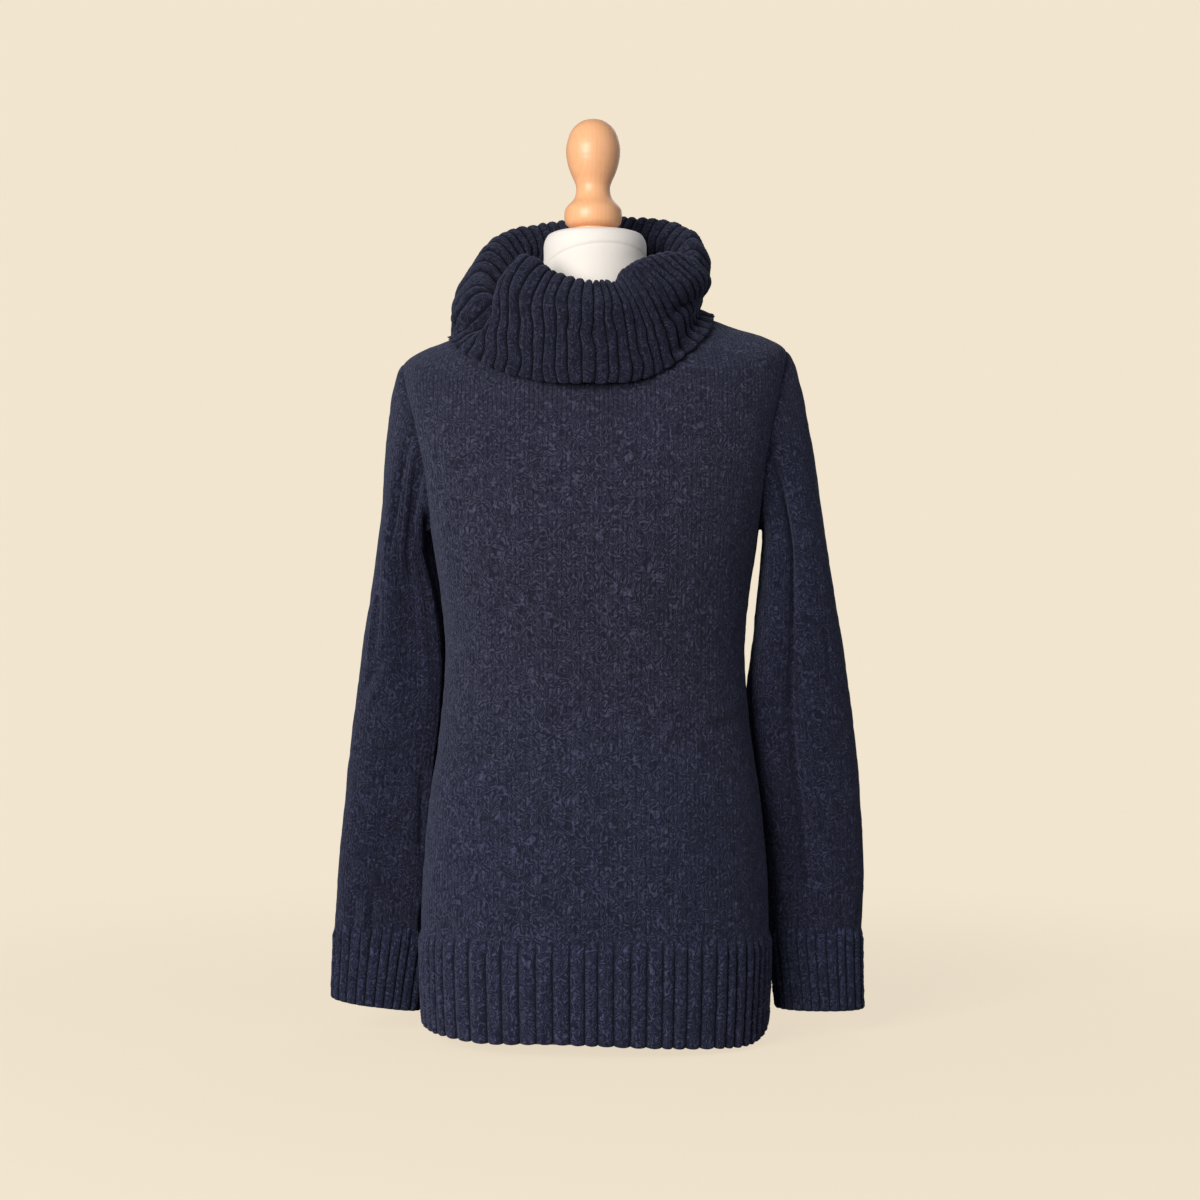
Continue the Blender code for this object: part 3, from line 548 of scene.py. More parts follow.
def make_yarn(name, tints, ribbed, rise=(0.0, 1.0), valley_shade=VALLEY_SHADE):
    """The navy yarn, with tints of painted light and shade, turning to its second tint between
    two heights.
    """
    made, tree, shader, place, loops = new_material(name)
    stitch = place_group(tree, knit_loops, {"Loops": loops, "Place": place, "Uneven": 0.35})
    pile = place_group(tree, woolly_pile, {"Place": place})

    height_here = xyz(tree, place)["Z"]
    risen = soft_step(tree, height_here, *rise)
    tinted = [
        [tuple(np.multiply(tint, shade).tolist()) for tint in tints]
        for shade in (NAVY, NAVY_DEEP, NAVY_PALE)
    ]
    base, deep, light = (blend_colors(tree, risen, low, high) for low, high in tinted)
    worn = 0.0
    if not ribbed:
        patchy = soft_step(tree, noise(tree, place, 24.0), 0.36, 0.58)
        worn = times(tree, soft_step(tree, height_here, *THIN_PILE), patchy)
    strands = times(tree, pile["Strands"], weigh(tree, (worn, -0.18), start=1.0))
    tone = soft_step(tree, pile["Blotches"], 0.34, 0.66)
    color = blend_colors(tree, times(tree, tone, 0.30), base, deep)
    grain = calc(tree, "SUBTRACT", pile["Grain"], 0.5)
    pale = weigh(tree, (pile["Flecks"], 0.30), (strands, 0.78), (grain, 0.40))
    color = blend_colors(tree, calc(tree, "MAXIMUM", pale, 0.0), color, light)
    # Painted shade: the gaps between stitches and the hollows between fibres are darkened in
    # colour, more where the pile is thin.
    in_gaps = weigh(tree, (worn, 0.45), start=0.30)
    in_hollows = weigh(tree, (worn, -0.25), start=0.70)
    painted_shade = weigh(tree, (stitch["Gap"], in_gaps), (pile["Hollows"], in_hollows))
    # Painted shade in the valleys between the ribs.
    if ribbed:
        ribs = calc(tree, "DIVIDE", xyz(tree, loops)["X"], WALES_A_RIB)
        from_ridge = off_centre(tree, ribs)
        ragged = weigh(tree, (pile["Strands"], -0.05), start=from_ridge)
        *slope, share = valley_shade
        painted_shade = weigh(tree, (soft_step(tree, ragged, *slope), share), start=painted_shade)
    color = blend_colors(tree, calc(tree, "MINIMUM", painted_shade, DARKEST), color, deep)

    height = weigh(tree, (stitch["Relief"], 0.50), (strands, 0.45),
                   (pile["Hollows"], -0.30), (pile["Grain"], 0.45))
    bump = put(tree, "ShaderNodeBump", {"Height": height, "Distance": 0.0011, "Strength": 0.85})
    rough = weigh(tree, (pile["Grain"], 0.16), start=0.82)
    wire(tree, shader, {
        "Base Color": color, "Roughness": rough, "Normal": bump.outputs[0],
        "Specular IOR Level": 0.12, "Sheen Weight": 0.15, "Sheen Roughness": 0.55,
        "Sheen Tint": (0.42, 0.47, 0.70, 1),
    })
    print(f"material {name}: {len(tree.nodes)} nodes")
    return made


print("navy, deep navy and pale navy:", NAVY, NAVY_DEEP, NAVY_PALE)


# %% The yarn's five finishes
UNTINTED = (1.0, 1.0, 1.0)
# These tints are painted light and shade, not the yarn's own colour: the panels and sleeves are
# painted darker and bluer lower down, the hem bluer, and the cuffs and collar darker.
PANEL_LOW_SHADE_TINT = (0.90, 0.95, 1.06)
SLEEVE_LOW_SHADE_TINT = (0.65, 0.68, 0.80)
HEM_BLUE_LIGHT_TINT = (0.97, 1.05, 1.20)
CUFF_SHADE_TINT = (0.74, 0.86, 1.02)
COLLAR_SHADE_TINT = (0.53, 0.54, 0.62)

plain_yarn = make_yarn(
    "plain_navy_knit", (PANEL_LOW_SHADE_TINT, UNTINTED), ribbed=False, rise=(0.15, 0.45))
sleeve_yarn = make_yarn(
    "sleeve_navy_knit", (SLEEVE_LOW_SHADE_TINT, UNTINTED), ribbed=False, rise=(0.55, 0.69))
hem_yarn = make_yarn("hem_navy_rib", (HEM_BLUE_LIGHT_TINT, HEM_BLUE_LIGHT_TINT), ribbed=True)
cuff_yarn = make_yarn("cuff_navy_rib", (CUFF_SHADE_TINT, CUFF_SHADE_TINT), ribbed=True)
collar_yarn = make_yarn(
    "collar_navy_rib", (COLLAR_SHADE_TINT, COLLAR_SHADE_TINT), ribbed=True, valley_shade=(0.28, 0.44, 0.90))

# %% [markdown]
# ## Jersey and turned wood
# The form is covered in off-white stretch jersey, a very fine knit that reads as almost
# smooth.  The knob is pale beech, turned on a lathe and varnished.  Wood grain could
# come from a photograph, but a pattern in three dimensions is truer: the rings run
# through the whole block, and the lathe's cut shows them as long flames.

# %% Colours of jersey and beech, and the jersey
JERSEY = (0.80, 0.745, 0.675)
JERSEY_SHADE = (0.72, 0.66, 0.59)
BEECH = (0.85, 0.43, 0.205)
BEECH_DARK = (0.70, 0.33, 0.145)
BEECH_FLECK = (0.60, 0.27, 0.115)
NECK_SEAM = (0.7930, 0.0052, -0.0172)  # its middle height, and its rise to +X and to +Y
NECK_SEAM_SHADE = 2.4


def neck_seam_line(tree, place):
    """1 on the curved seam that closes the neck's cap, and 0 beside it."""
    level = vector_calc(tree, "MULTIPLY", place, (1.0, 1.0, 0.0))
    round_neck = xyz(tree, vector_calc(tree, "NORMALIZE", level))
    middle, to_x, to_y = NECK_SEAM
    seam_z = weigh(tree, (round_neck["X"], to_x), (round_neck["Y"], to_y), start=middle)
    above = calc(tree, "ABSOLUTE", calc(tree, "SUBTRACT", xyz(tree, place)["Z"], seam_z))
    return soft_step(tree, above, 0.0013, 0.0002)


def make_jersey():
    made, tree, shader, place, loops = new_material("off_white_jersey")
    stitch = place_group(tree, knit_loops, {
        "Loops": loops, "Place": place, "Uneven": 0.15, "Uneven Scale": 500.0})
    cloudy = noise(tree, place, 30.0, detail=3.0)
    lint = noise(tree, place, 1200.0, detail=2.0)
    # Painted shade: the stitch gaps and the neck's seam line are darkened in colour; the cloudy
    # part is the jersey's own uneven tone.
    shade = weigh(tree, (cloudy, 0.22), (stitch["Gap"], 0.18),
                  (neck_seam_line(tree, place), NECK_SEAM_SHADE))
    color = blend_colors(tree, shade, JERSEY, JERSEY_SHADE)
    height = weigh(tree, (lint, 0.4), start=stitch["Relief"])
    bump = put(tree, "ShaderNodeBump", {"Height": height, "Distance": 0.0002, "Strength": 0.5})
    rough = weigh(tree, (lint, 0.15), start=0.72)
    wire(tree, shader, {
        "Base Color": color, "Roughness": rough, "Normal": bump.outputs[0],
        "Specular IOR Level": 0.3, "Sheen Weight": 0.30, "Sheen Roughness": 0.5,
    })
    return made


jersey = make_jersey()
print(f"material {jersey.name}: {len(jersey.node_tree.nodes)} nodes")


# %% The beech
def make_beech():
    made, tree, shader, place, _ = new_material("pale_turned_beech")
    long, thin, short = (
        vector_calc(tree, "MULTIPLY", place, (1.0, 1.0, z)) for z in (0.10, 0.06, 0.22))
    inputs = {"Vector": long, "Scale": 38.0, "Detail": 2.0}
    warp = put(tree, "ShaderNodeTexNoise", inputs).outputs["Color"]
    inside = vector_calc(tree, "ADD", long, scaled(tree, warp, 0.012))
    aside = vector_calc(tree, "ADD", inside, (0.055, 0.030, 0.0))
    rings = put(tree, "ShaderNodeTexWave", {
        "Vector": aside, "Scale": 62.0, "Distortion": 1.4, "Detail": 2.0, "Detail Scale": 1.2,
    }, wave_type="RINGS", rings_direction="Z", wave_profile="SAW").outputs["Fac"]
    pores = noise(tree, thin, 900.0, detail=1.0)
    flecks = noise(tree, short, 420.0, detail=0.0)
    flecked = times(tree, soft_step(tree, flecks, 0.66, 0.76), 0.14)
    pored = times(tree, soft_step(tree, pores, 0.55, 0.75), 0.06)
    color = blend_colors(tree, times(tree, rings, 0.30), BEECH, BEECH_DARK)
    color = blend_colors(tree, flecked, color, BEECH_FLECK)
    color = blend_colors(tree, pored, color, BEECH_FLECK)
    height = weigh(tree, (pores, -0.5), (rings, -0.4))
    bump = put(tree, "ShaderNodeBump", {"Height": height, "Distance": 0.00012, "Strength": 0.4})
    rough = weigh(tree, (pores, 0.12), start=0.36)
    wire(tree, shader, {
        "Base Color": color, "Roughness": rough, "Normal": bump.outputs[0],
        "Coat Weight": 0.14, "Coat Roughness": 0.34,
    })
    return made


beech = make_beech()
print("materials:", ", ".join(m.name for m in bpy.data.materials))

# %% [markdown]
# ## The worn body's shape
# Seen from above, the sweater's body is a rounded box: wide, less deep, and flatter in
# front than a circle.  A superellipse gives that with three numbers a level.  From the
# shoulder's height on, each ring climbs at its sides, so that the rings above follow
# the slope of the shoulders up to the neck.  The back panel stays a plain, calm
# surface, as it is on a real form.

# %% The body's table
HEM_TOP = 0.115
UNDERARM = 0.520
SHOULDER_POINT = 0.700
NECKLINE = 0.734
SHOULDER_TILT = 0.038
KNIT_WALL = 0.0026
ARMHOLE_HALF_ANGLE = math.radians(20)
ARMHOLE_MIDDLE = (SHOULDER_POINT + UNDERARM) / 2
ARMHOLE_HALF = (SHOULDER_POINT - UNDERARM) / 2
RIDGE_ROUNDING = 1.7
TILT_START = UNDERARM - 0.06

BODY = columns("side_z  front_z  back_z  half_width  front_depth  back_depth  square  ease", """
    0.000 0.000 0.000 0.1745 0.1150 0.1140 2.25 0.0105
    0.060 0.060 0.060 0.1775 0.1180 0.1170 2.25 0.0105
    0.115 0.115 0.115 0.1785 0.1190 0.1180 2.25 0.0100
    0.170 0.170 0.170 0.1765 0.1180 0.1170 2.25 0.0090
    0.230 0.230 0.230 0.1715 0.1150 0.1120 2.25 0.0110
    0.300 0.300 0.300 0.1620 0.1090 0.1030 2.25 0.0140
    0.350 0.350 0.350 0.1565 0.1070 0.0980 2.25 0.0170
    0.400 0.400 0.400 0.1545 0.1090 0.0960 2.25 0.0150
    0.450 0.450 0.450 0.1575 0.1150 0.0980 2.30 0.0090
    0.500 0.499 0.500 0.1655 0.1195 0.1020 2.45 0.0060
    0.530 0.528 0.531 0.1695 0.1205 0.1050 2.60 0.0060
    0.570 0.565 0.573 0.1765 0.1195 0.1070 2.75 0.0060
    0.610 0.600 0.617 0.1845 0.1160 0.1070 2.85 0.0055
    0.650 0.632 0.662 0.1920 0.1110 0.1040 2.85 0.0045
    0.680 0.653 0.694 0.1965 0.1060 0.0990 2.80 0.0034
    0.692 0.661 0.707 0.1970 0.1035 0.0965 2.75 0.0030
    0.700 0.666 0.716 0.1945 0.1015 0.0945 2.70 0.0022
    0.708 0.671 0.724 0.1845 0.0990 0.0920 2.60 0.0012
    0.715 0.676 0.732 0.1700 0.0960 0.0890 2.50 0.0007
    0.724 0.682 0.741 0.1440 0.0915 0.0845 2.35 0.0005
    0.734 0.689 0.752 0.1170 0.0860 0.0790 2.25 0.0006
""")
print("rings in the body's table:", len(BODY["ease"]))


# %% The body's surface
def level_point(table, side_z, theta):
    """A point of the ring at that side height; theta 0 is +X, -90 degrees the front."""
    read = read_off(table, "side_z", side_z)
    sine, cosine = np.sin(theta), np.cos(theta)
    power = 2 / read["square"]
    depth = np.where(sine < 0, read["front_depth"], read["back_depth"])
    end_z = np.where(sine < 0, read["front_z"], read["back_z"])
    x = read["half_width"] * powered(cosine, power)
    y = depth * powered(sine, power)
    z = side_z + (end_z - side_z) * np.abs(sine) ** RIDGE_ROUNDING
    z = z + SHOULDER_TILT * x * ease_between(side_z, TILT_START, SHOULDER_POINT)
    return np.stack(np.broadcast_arrays(x, y, z), axis=-1)


def body_point(side_z, theta):
    return level_point(BODY, side_z, theta)


def body_normal(side_z, theta):
    side_z, theta = np.broadcast_arrays(side_z, theta)
    inside = np.clip(side_z, BODY["side_z"][0] + 1e-4, NECKLINE - 1e-4)
    return -normals_of(body_point, inside, theta, 1e-4, 1e-3)


def armhole_half_angle(side_z):
    """Half the angle that the armhole takes out of the ring at that height."""
    inside = np.clip(1 - ((side_z - ARMHOLE_MIDDLE) / ARMHOLE_HALF) ** 2, 0, 1)
    return ARMHOLE_HALF_ANGLE * np.sqrt(inside)


def even_angles(curve, start, end, shares):
    """Angles that lie at those shares of a curve's length, from start to end."""
    fine = np.linspace(start, end, 1441)
    run = run_along(curve(fine), axis=0)
    return np.interp(np.asarray(shares) * run[-1], run, fine)


chest_ring = body_point(0.57, np.linspace(-math.pi, math.pi, 361))
print("round the chest:", round(float(run_along(chest_ring, axis=0)[-1]), 3), "m")

# %% [markdown]
# ## Folds and pulls placed one by one
# The photograph shows few folds on the body and clear lengthwise ones on the sleeves.
# A cloth simulation would invent its own folds in other places.  So each is a line in
# a table: from where to where it runs, how wide it is and how deep.  A fold's profile
# is a bell curve that fades out at both ends, and ridges simply have a positive depth.

# %% Tables of folds
FOLD_NAMES = "from_a  from_z  to_a  to_z  half_width  depth"
# For the panels, a is x in metres.  For the sleeves it is degrees round the sleeve,
# from its outer edge by the front.
FRONT_FOLDS = columns(FOLD_NAMES, """
     0.062 0.320  0.150 0.342 0.0055  0.0013
     0.070 0.309  0.152 0.330 0.0050 -0.0009
     0.030 0.268  0.085 0.265 0.0045  0.0009
    -0.028 0.195  0.018 0.182 0.0050  0.0011
     0.004 0.521  0.050 0.526 0.0045  0.0011
    -0.094 0.408 -0.070 0.397 0.0080 -0.0013
    -0.075 0.300 -0.060 0.290 0.0070 -0.0010
    -0.158 0.500 -0.112 0.566 0.0090 -0.0015
     0.156 0.505  0.118 0.562 0.0090 -0.0015
    -0.160 0.150 -0.120 0.128 0.0060  0.0010
     0.100 0.150  0.150 0.160 0.0060  0.0009
    -0.165 0.330 -0.120 0.345 0.0070  0.0010
""")
BACK_FOLDS = columns(FOLD_NAMES, """
    -0.080 0.345  0.020 0.330 0.0080  0.0016
    -0.060 0.325  0.070 0.318 0.0070 -0.0014
     0.010 0.372  0.110 0.362 0.0080  0.0013
    -0.150 0.500 -0.095 0.560 0.0100 -0.0018
     0.152 0.505  0.105 0.552 0.0090 -0.0016
     0.060 0.180  0.120 0.160 0.0070  0.0012
    -0.120 0.215 -0.060 0.200 0.0060 -0.0010
    -0.015 0.640  0.012 0.560 0.0120 -0.0012
""")
SLEEVE_FOLDS = {
    1: columns(FOLD_NAMES, """
         99 0.650  99 0.110 0.0035 -0.0030
        107 0.610 108 0.180 0.0060  0.0022
         90 0.560  88 0.220 0.0060  0.0012
         60 0.428  55 0.368 0.0040 -0.0024
        104 0.566 101 0.500 0.0040 -0.0018
         35 0.330  62 0.292 0.0060 -0.0018
         30 0.255  52 0.235 0.0050  0.0014
         62 0.150  54 0.112 0.0045 -0.0016
         28 0.142  31 0.108 0.0040 -0.0013
        140 0.300 122 0.262 0.0060 -0.0016
        250 0.410 232 0.330 0.0070 -0.0030
        285 0.390 262 0.350 0.0060  0.0020
        282 0.165 300 0.122 0.0050 -0.0020
        225 0.560 238 0.480 0.0070 -0.0025
        320 0.360 300 0.325 0.0060 -0.0020
    """),
    -1: columns(FOLD_NAMES, """
         76 0.408  30 0.348 0.0050 -0.0034
         84 0.392  46 0.340 0.0055  0.0020
         80 0.625  68 0.490 0.0040 -0.0048
         90 0.640  90 0.470 0.0042  0.0040
        104 0.620 112 0.500 0.0050 -0.0026
        146 0.660 150 0.320 0.0120 -0.0060
         48 0.500  52 0.420 0.0045 -0.0016
         46 0.462  84 0.458 0.0035  0.0018
         43 0.460  38 0.375 0.0035  0.0022
         55 0.455  50 0.385 0.0035 -0.0020
        118 0.278 130 0.180 0.0050 -0.0038
         80 0.150  80 0.086 0.0032 -0.0034
         72 0.140  70 0.098 0.0032  0.0020
         58 0.140  57 0.082 0.0032 -0.0024
         60 0.250  80 0.225 0.0060  0.0014
        118 0.520 122 0.360 0.0060 -0.0022
        245 0.440 264 0.362 0.0070 -0.0030
        272 0.420 288 0.380 0.0060  0.0020
        300 0.170 284 0.124 0.0050 -0.0022
        228 0.570 240 0.490 0.0070 -0.0024
        325 0.300 305 0.262 0.0060 -0.0020
    """),
}
METRES_A_DEGREE = 0.00092  # round a sleeve
FOLD_ENDS = (-0.12, 0.30)  # shares of a fold's length over which it fades in, and out
FOLD_TABLES = [FRONT_FOLDS, BACK_FOLDS, *SLEEVE_FOLDS.values()]
print("folds placed by hand:", sum(len(folds["depth"]) for folds in FOLD_TABLES))


# %% How a fold pushes the cloth
def fold_push(across, up, folds):
    """How far the folds push each point, in metres."""
    push = np.zeros(np.broadcast_shapes(np.shape(across), np.shape(up)))
    for from_a, from_z, to_a, to_z, half_width, depth in zip(*folds.values()):
        run = np.array([to_a - from_a, to_z - from_z])
        length = math.hypot(*run)
        a, z = across - from_a, up - from_z
        along = (a * run[0] + z * run[1]) / length**2
        aside = (z * run[0] - a * run[1]) / length
        ends = ease_between(along, *FOLD_ENDS) * ease_between(1 - along, *FOLD_ENDS)
        push += depth * bell(aside / half_width) * ends
    return push


deepest = fold_push(0.110, np.linspace(0.25, 0.40, 61), FRONT_FOLDS)
print("front folds beside the waist:", (1000 * deepest).min().round(1), "to",
      (1000 * deepest).max().round(1), "mm")

# %% [markdown]
# ## The front and back panels
# Each panel is one knitted piece from the hem's ribs to the neck seam, with a scooped
# edge for the armhole.  It could be cut from a whole tube, but then its rows would not
# end where a knitter ends them.  Its grid runs from side seam to side seam instead,
# and narrows beside the armhole.  Its edges dip inwards a little, because a seam pulls
# the knit in.

# %% Levels, thinning and stitch maps
PANEL_COLUMNS = 240
PANEL_ROWS = (150, 56, 18)  # below, beside and above the armhole
SEAM_DIP = 0.0005
SEAM_HALF_WIDTH = 0.0028
HIDDEN_STEP = 4  # the hidden face has one row and column for so many showing ones


def panel_levels():
    below, beside, above = PANEL_ROWS
    return np.concatenate([
        np.linspace(HEM_TOP, UNDERARM, below + 1)[:-1],
        ARMHOLE_MIDDLE + ARMHOLE_HALF * np.cos(np.linspace(math.pi, 0, beside + 1)),
        np.linspace(SHOULDER_POINT, NECKLINE, above + 1)[1:],
    ])


def thinned(grid, row_step, column_step, closed=False):
    """A grid with only some rows and columns, but with the last where it is open."""
    for axis, step in ((0, row_step), (1, column_step)):
        picked = np.arange(0, grid.shape[axis], step)
        if axis == 0 or not closed:
            picked = np.unique(np.append(picked, grid.shape[axis] - 1))
        grid = np.take(grid, picked, axis=axis)
    return grid


def seam_dip(points):
    """The dip beside the first and last column of a grid."""
    run = run_along(points, axis=1)
    nearest = np.minimum(run, run[:, -1:] - run)
    return -SEAM_DIP * bell(nearest / SEAM_HALF_WIDTH)


def knit_map(points, middle):
    """Stitches across and rows up for each point; column middle is at zero."""
    across = run_along(points, axis=1)
    across = (across - across[:, middle : middle + 1]) / STITCH_WIDTH
    up = run_along(points, axis=0)[:, middle : middle + 1] / ROW_HEIGHT
    return stitch_map(across, up)


print("rows of points in a panel:", len(panel_levels()))


# %% Build both panels
def build_panel(name, facing, folds):
    """facing is -1 for the front and 1 for the back."""
    levels = panel_levels()
    edge = armhole_half_angle(levels)[:, None]
    shares = np.linspace(0, 1, PANEL_COLUMNS + 1)[None]
    start = -math.pi if facing < 0 else 0
    thetas = start + edge + shares * (math.pi - 2 * edge)
    levels = np.repeat(levels[:, None], PANEL_COLUMNS + 1, axis=1)
    smooth_skin = body_point(levels, thetas)
    outward = body_normal(levels, thetas)
    push = knit_lumps(smooth_skin) + seam_dip(smooth_skin)
    push += fold_push(smooth_skin[..., 0], smooth_skin[..., 2], folds)
    outer = smooth_skin + outward * push[..., None]
    inner = thinned(smooth_skin - outward * KNIT_WALL, HIDDEN_STEP, HIDDEN_STEP)
    knit = knit_map(smooth_skin, PANEL_COLUMNS // 2)
    return wall(name, outer, inner, knit, closed=False, finish=plain_yarn)


panel_front = build_panel("knit_front_panel", -1, FRONT_FOLDS)
panel_back = build_panel("knit_back_panel", 1, BACK_FOLDS)

# %% [markdown]
# ## Ribs
# Ribbing is made of knit columns that stand forward and purl columns that sink behind
# them, so it pulls in and springs back.  Each rib is a round ridge about two stitches
# wide, and the valley beside it is narrow and dark.  A bump map could fake it, but the
# ridges show in the outline of the hem and collar, so they are in the mesh: each rib
# has ten columns of points, closer together in the valley, where the surface turns.

# %% The profile of one rib, and rows of ribs
RIB_WALL = 0.0026
RIB_RELIEF = 0.0036
RIB_COLUMNS = np.array([0.0, 0.05, 0.12, 0.22, 0.36, 0.50, 0.64, 0.78, 0.88, 0.95])
RIB_ROUNDING = 0.74
EDGE_ROUNDING = 0.0042  # length over which a free edge thins out
EDGE_THIN = 0.0012
EDGE_FLATTENING = 0.25  # share of a rib's height that goes at the free edge
PLAIT_LEAN = 1.2
HIDDEN_BAND_STEPS = (3, 5)


def rib_columns(edges):
    """Places of every column of points, and where each lies across its rib."""
    edges = np.asarray(edges, float)
    starts, widths = edges[:-1, None], np.diff(edges)[:, None]
    places = (starts + widths * RIB_COLUMNS).ravel()
    ribs = np.repeat(np.arange(len(edges) - 1), len(RIB_COLUMNS))
    return places, np.tile(RIB_COLUMNS, len(edges) - 1), ribs


def rib_height(phase, rounding=RIB_ROUNDING):
    """0 in the valley and 1 on the ridge; a lower rounding gives a flatter ridge."""
    from_valley = 2 * np.minimum(phase, 1 - phase)
    return (1 - (1 - from_valley) ** 2) ** rounding


def uneven_edges(count, spread, seed):
    """Valley places from 0 to 1, each a little off its even place."""
    edges = np.arange(count + 1) / count
    random = np.random.default_rng(seed).uniform(-spread, spread, count - 1)
    edges[1:-1] += random / count
    return edges


def edge_thinning(run):
    """1 at a free edge and 0 past its rounding, by the distance from the edge."""
    inside = np.clip(run / EDGE_ROUNDING, 0, 1)
    return 1 - np.sqrt(1 - (1 - inside) ** 2)


def rib_lumps(points):
    """The small unevenness of ribbed yarn, in metres."""
    fine = 0.00045 * soft_noise(points, 0.0055, seed=8)
    return fine + 0.0005 * soft_noise(points, 0.020, seed=9)


def plait(phase, rows):
    """Leaning strokes over a ridge, as the two legs of its stitches, -1 to 1."""
    lean = rows - PLAIT_LEAN * np.abs(phase - 0.5) * 2
    return np.cos(2 * math.pi * lean) * rib_height(phase)


def band_faces(skin, outward, relief, strokes, fade, thin, closed):
    """Both faces of a ribbed band that fades into plain knit at its top."""
    relief = relief * (1 - EDGE_FLATTENING * thin)
    push = knit_lumps(skin) * (1 - fade) + rib_lumps(skin) * fade
    push += fade * (relief + strokes) - EDGE_THIN * thin
    if not closed:
        push += seam_dip(skin) * (1 - fade)
    outer = skin + outward * push[..., None]
    inner = skin - outward * (RIB_WALL - EDGE_THIN * thin)[..., None]
    return outer, thinned(inner, *HIDDEN_BAND_STEPS, closed)


print("a rib's height across it:", (1000 * RIB_RELIEF * rib_height(RIB_COLUMNS)).round(1), "mm")


# %% [markdown]
# ## The hem's ribs
# The hem is a snug band at the bottom.  On the front, the valleys stand where the
# picture shows them, measured along the cloth; wide ribs lie in the middle and
# narrower ones towards the sides.  On the hidden back, they are spaced nearly evenly.
# The ribs fade into the plain knit at their tops, each at a slightly other height.

# %% Where the hem's ribs and its edge are
HEM_RIBS = 34
FRONT_VALLEYS = (
    0, 13.5, 27, 40.4, 53.8, 64.3, 76.8, 93.4, 110.7, 130.3, 146.8, 164.4, 181.5, 198.3, 215.1,
    229.7, 242.4, 258.1, 274.7, 290.5, 306.5, 317.7, 331.1, 346.6, 362.9, 376, 387, 400.5,
    411.9, 421.5, 433.6, 445, 456.3, 467.6, 478.8,
)  # millimetres along the hem, from the wearer's right side seam
HEM_EDGE = columns("around  z", """
    -180 0.0100
    -135 0.0120
     -95 0.0180
     -60 0.0150
     -35 0.0130
     -12 0.0155
      15 0.0115
      38 0.0075
      62 0.0050
      92 0.0190
     135 0.0120
""")
HEM_ROWS = 56
HEM_FADE = 0.013
HEM_SCALLOP = 0.0012
HEM_PLAIT = 0.00022
LATEST_RIB = 0.005  # how much lower than the first the last rib starts


def rib_top_fade(depth, ribs, length, seed):
    """Fades each rib in below the plain knit; depth is the distance below it."""
    late = np.random.default_rng(seed).uniform(0.0, LATEST_RIB, ribs.max() + 1)[ribs]
    return ease_between(depth - late, 0.0, length)


print("valleys placed on the front hem:", len(FRONT_VALLEYS))


# %% Build both hem ribs
def build_hem_rib(name, facing, edges, seed):
    shares, phase, ribs = rib_columns(edges)
    shares, phase, ribs = np.append(shares, 1), np.append(phase, 0), np.append(ribs, ribs[-1])
    start = -math.pi if facing < 0 else 0.0

    def top_ring(theta):
        return body_point(HEM_TOP, theta)

    thetas = even_angles(top_ring, start, start + math.pi, shares)
    up = np.linspace(0, 1, HEM_ROWS)[:, None]
    around = np.degrees(thetas) + 90
    bottom = smooth_round(around, HEM_EDGE["around"], HEM_EDGE["z"])
    bottom = bottom - HEM_SCALLOP * rib_height(phase)
    levels = bottom + (HEM_TOP - bottom) * up
    thetas = np.broadcast_to(thetas, levels.shape)
    rows = levels / ROW_HEIGHT
    outer, inner = band_faces(
        body_point(levels, thetas), body_normal(levels, thetas),
        relief=RIB_RELIEF * rib_height(phase), strokes=HEM_PLAIT * plait(phase, rows),
        fade=rib_top_fade(HEM_TOP - levels, ribs, HEM_FADE, seed),
        thin=edge_thinning(levels - bottom), closed=False,
    )
    knit = stitch_map((ribs + phase) * WALES_A_RIB, rows)
    knit[:, -1, 0] = HEM_RIBS * WALES_A_RIB
    return wall(name, outer, inner, knit, closed=False, finish=hem_yarn)


front_edges = np.array(FRONT_VALLEYS) / FRONT_VALLEYS[-1]
hem_front = build_hem_rib("ribbed_hem_front", -1, front_edges, seed=11)
hem_back = build_hem_rib("ribbed_hem_back", 1, uneven_edges(HEM_RIBS, 0.12, seed=12), seed=13)

# %% [markdown]
# ## Keeping clear of the body
# A sleeve hangs beside the body and the collar lies on the shoulders without cutting
# into them.  Cloth collision in a simulation would do that; here it is a direct test.
# A search tree of the body gives the nearest point and its outward direction, and a
# point of the cloth that is too near moves out by what is missing.

# %% A search tree of the body, and the push that keeps cloth clear of it
REST_GAP = 0.0016
HANG_GAP = 0.0026
RIB_HANG_GAP = 0.0066
TREE_GRID = (60, 181)


def body_tree(low, high):
    rows, wide = TREE_GRID
    levels, thetas = np.linspace(low, high, rows), np.linspace(-math.pi, math.pi, wide)
    grid = body_point(*np.meshgrid(levels, thetas, indexing="ij"))
    quads, _ = grid_quads(rows, wide, False, 0)
    return BVHTree.FromPolygons(grid.reshape(-1, 3).tolist(), quads.tolist())


def push_clear(points, gaps, tree, sideways=False):
    """How far each point has to move to keep its gap."""
    moves = np.zeros_like(points)
    for index in np.argwhere(gaps > 0):
        index = tuple(index)
        spot = Vector(points[index])
        nearest, normal, _, _ = tree.find_nearest(spot)
        clear = (spot - nearest).dot(normal)
        if clear < gaps[index]:
            if sideways:
                normal.z = 0
            moves[index] = normal * (gaps[index] - clear)
    return moves


below_underarm = body_tree(0.0, UNDERARM)
over_shoulders = body_tree(0.56, NECKLINE)
print("gaps to the body, in metres:", REST_GAP, HANG_GAP, RIB_HANG_GAP)

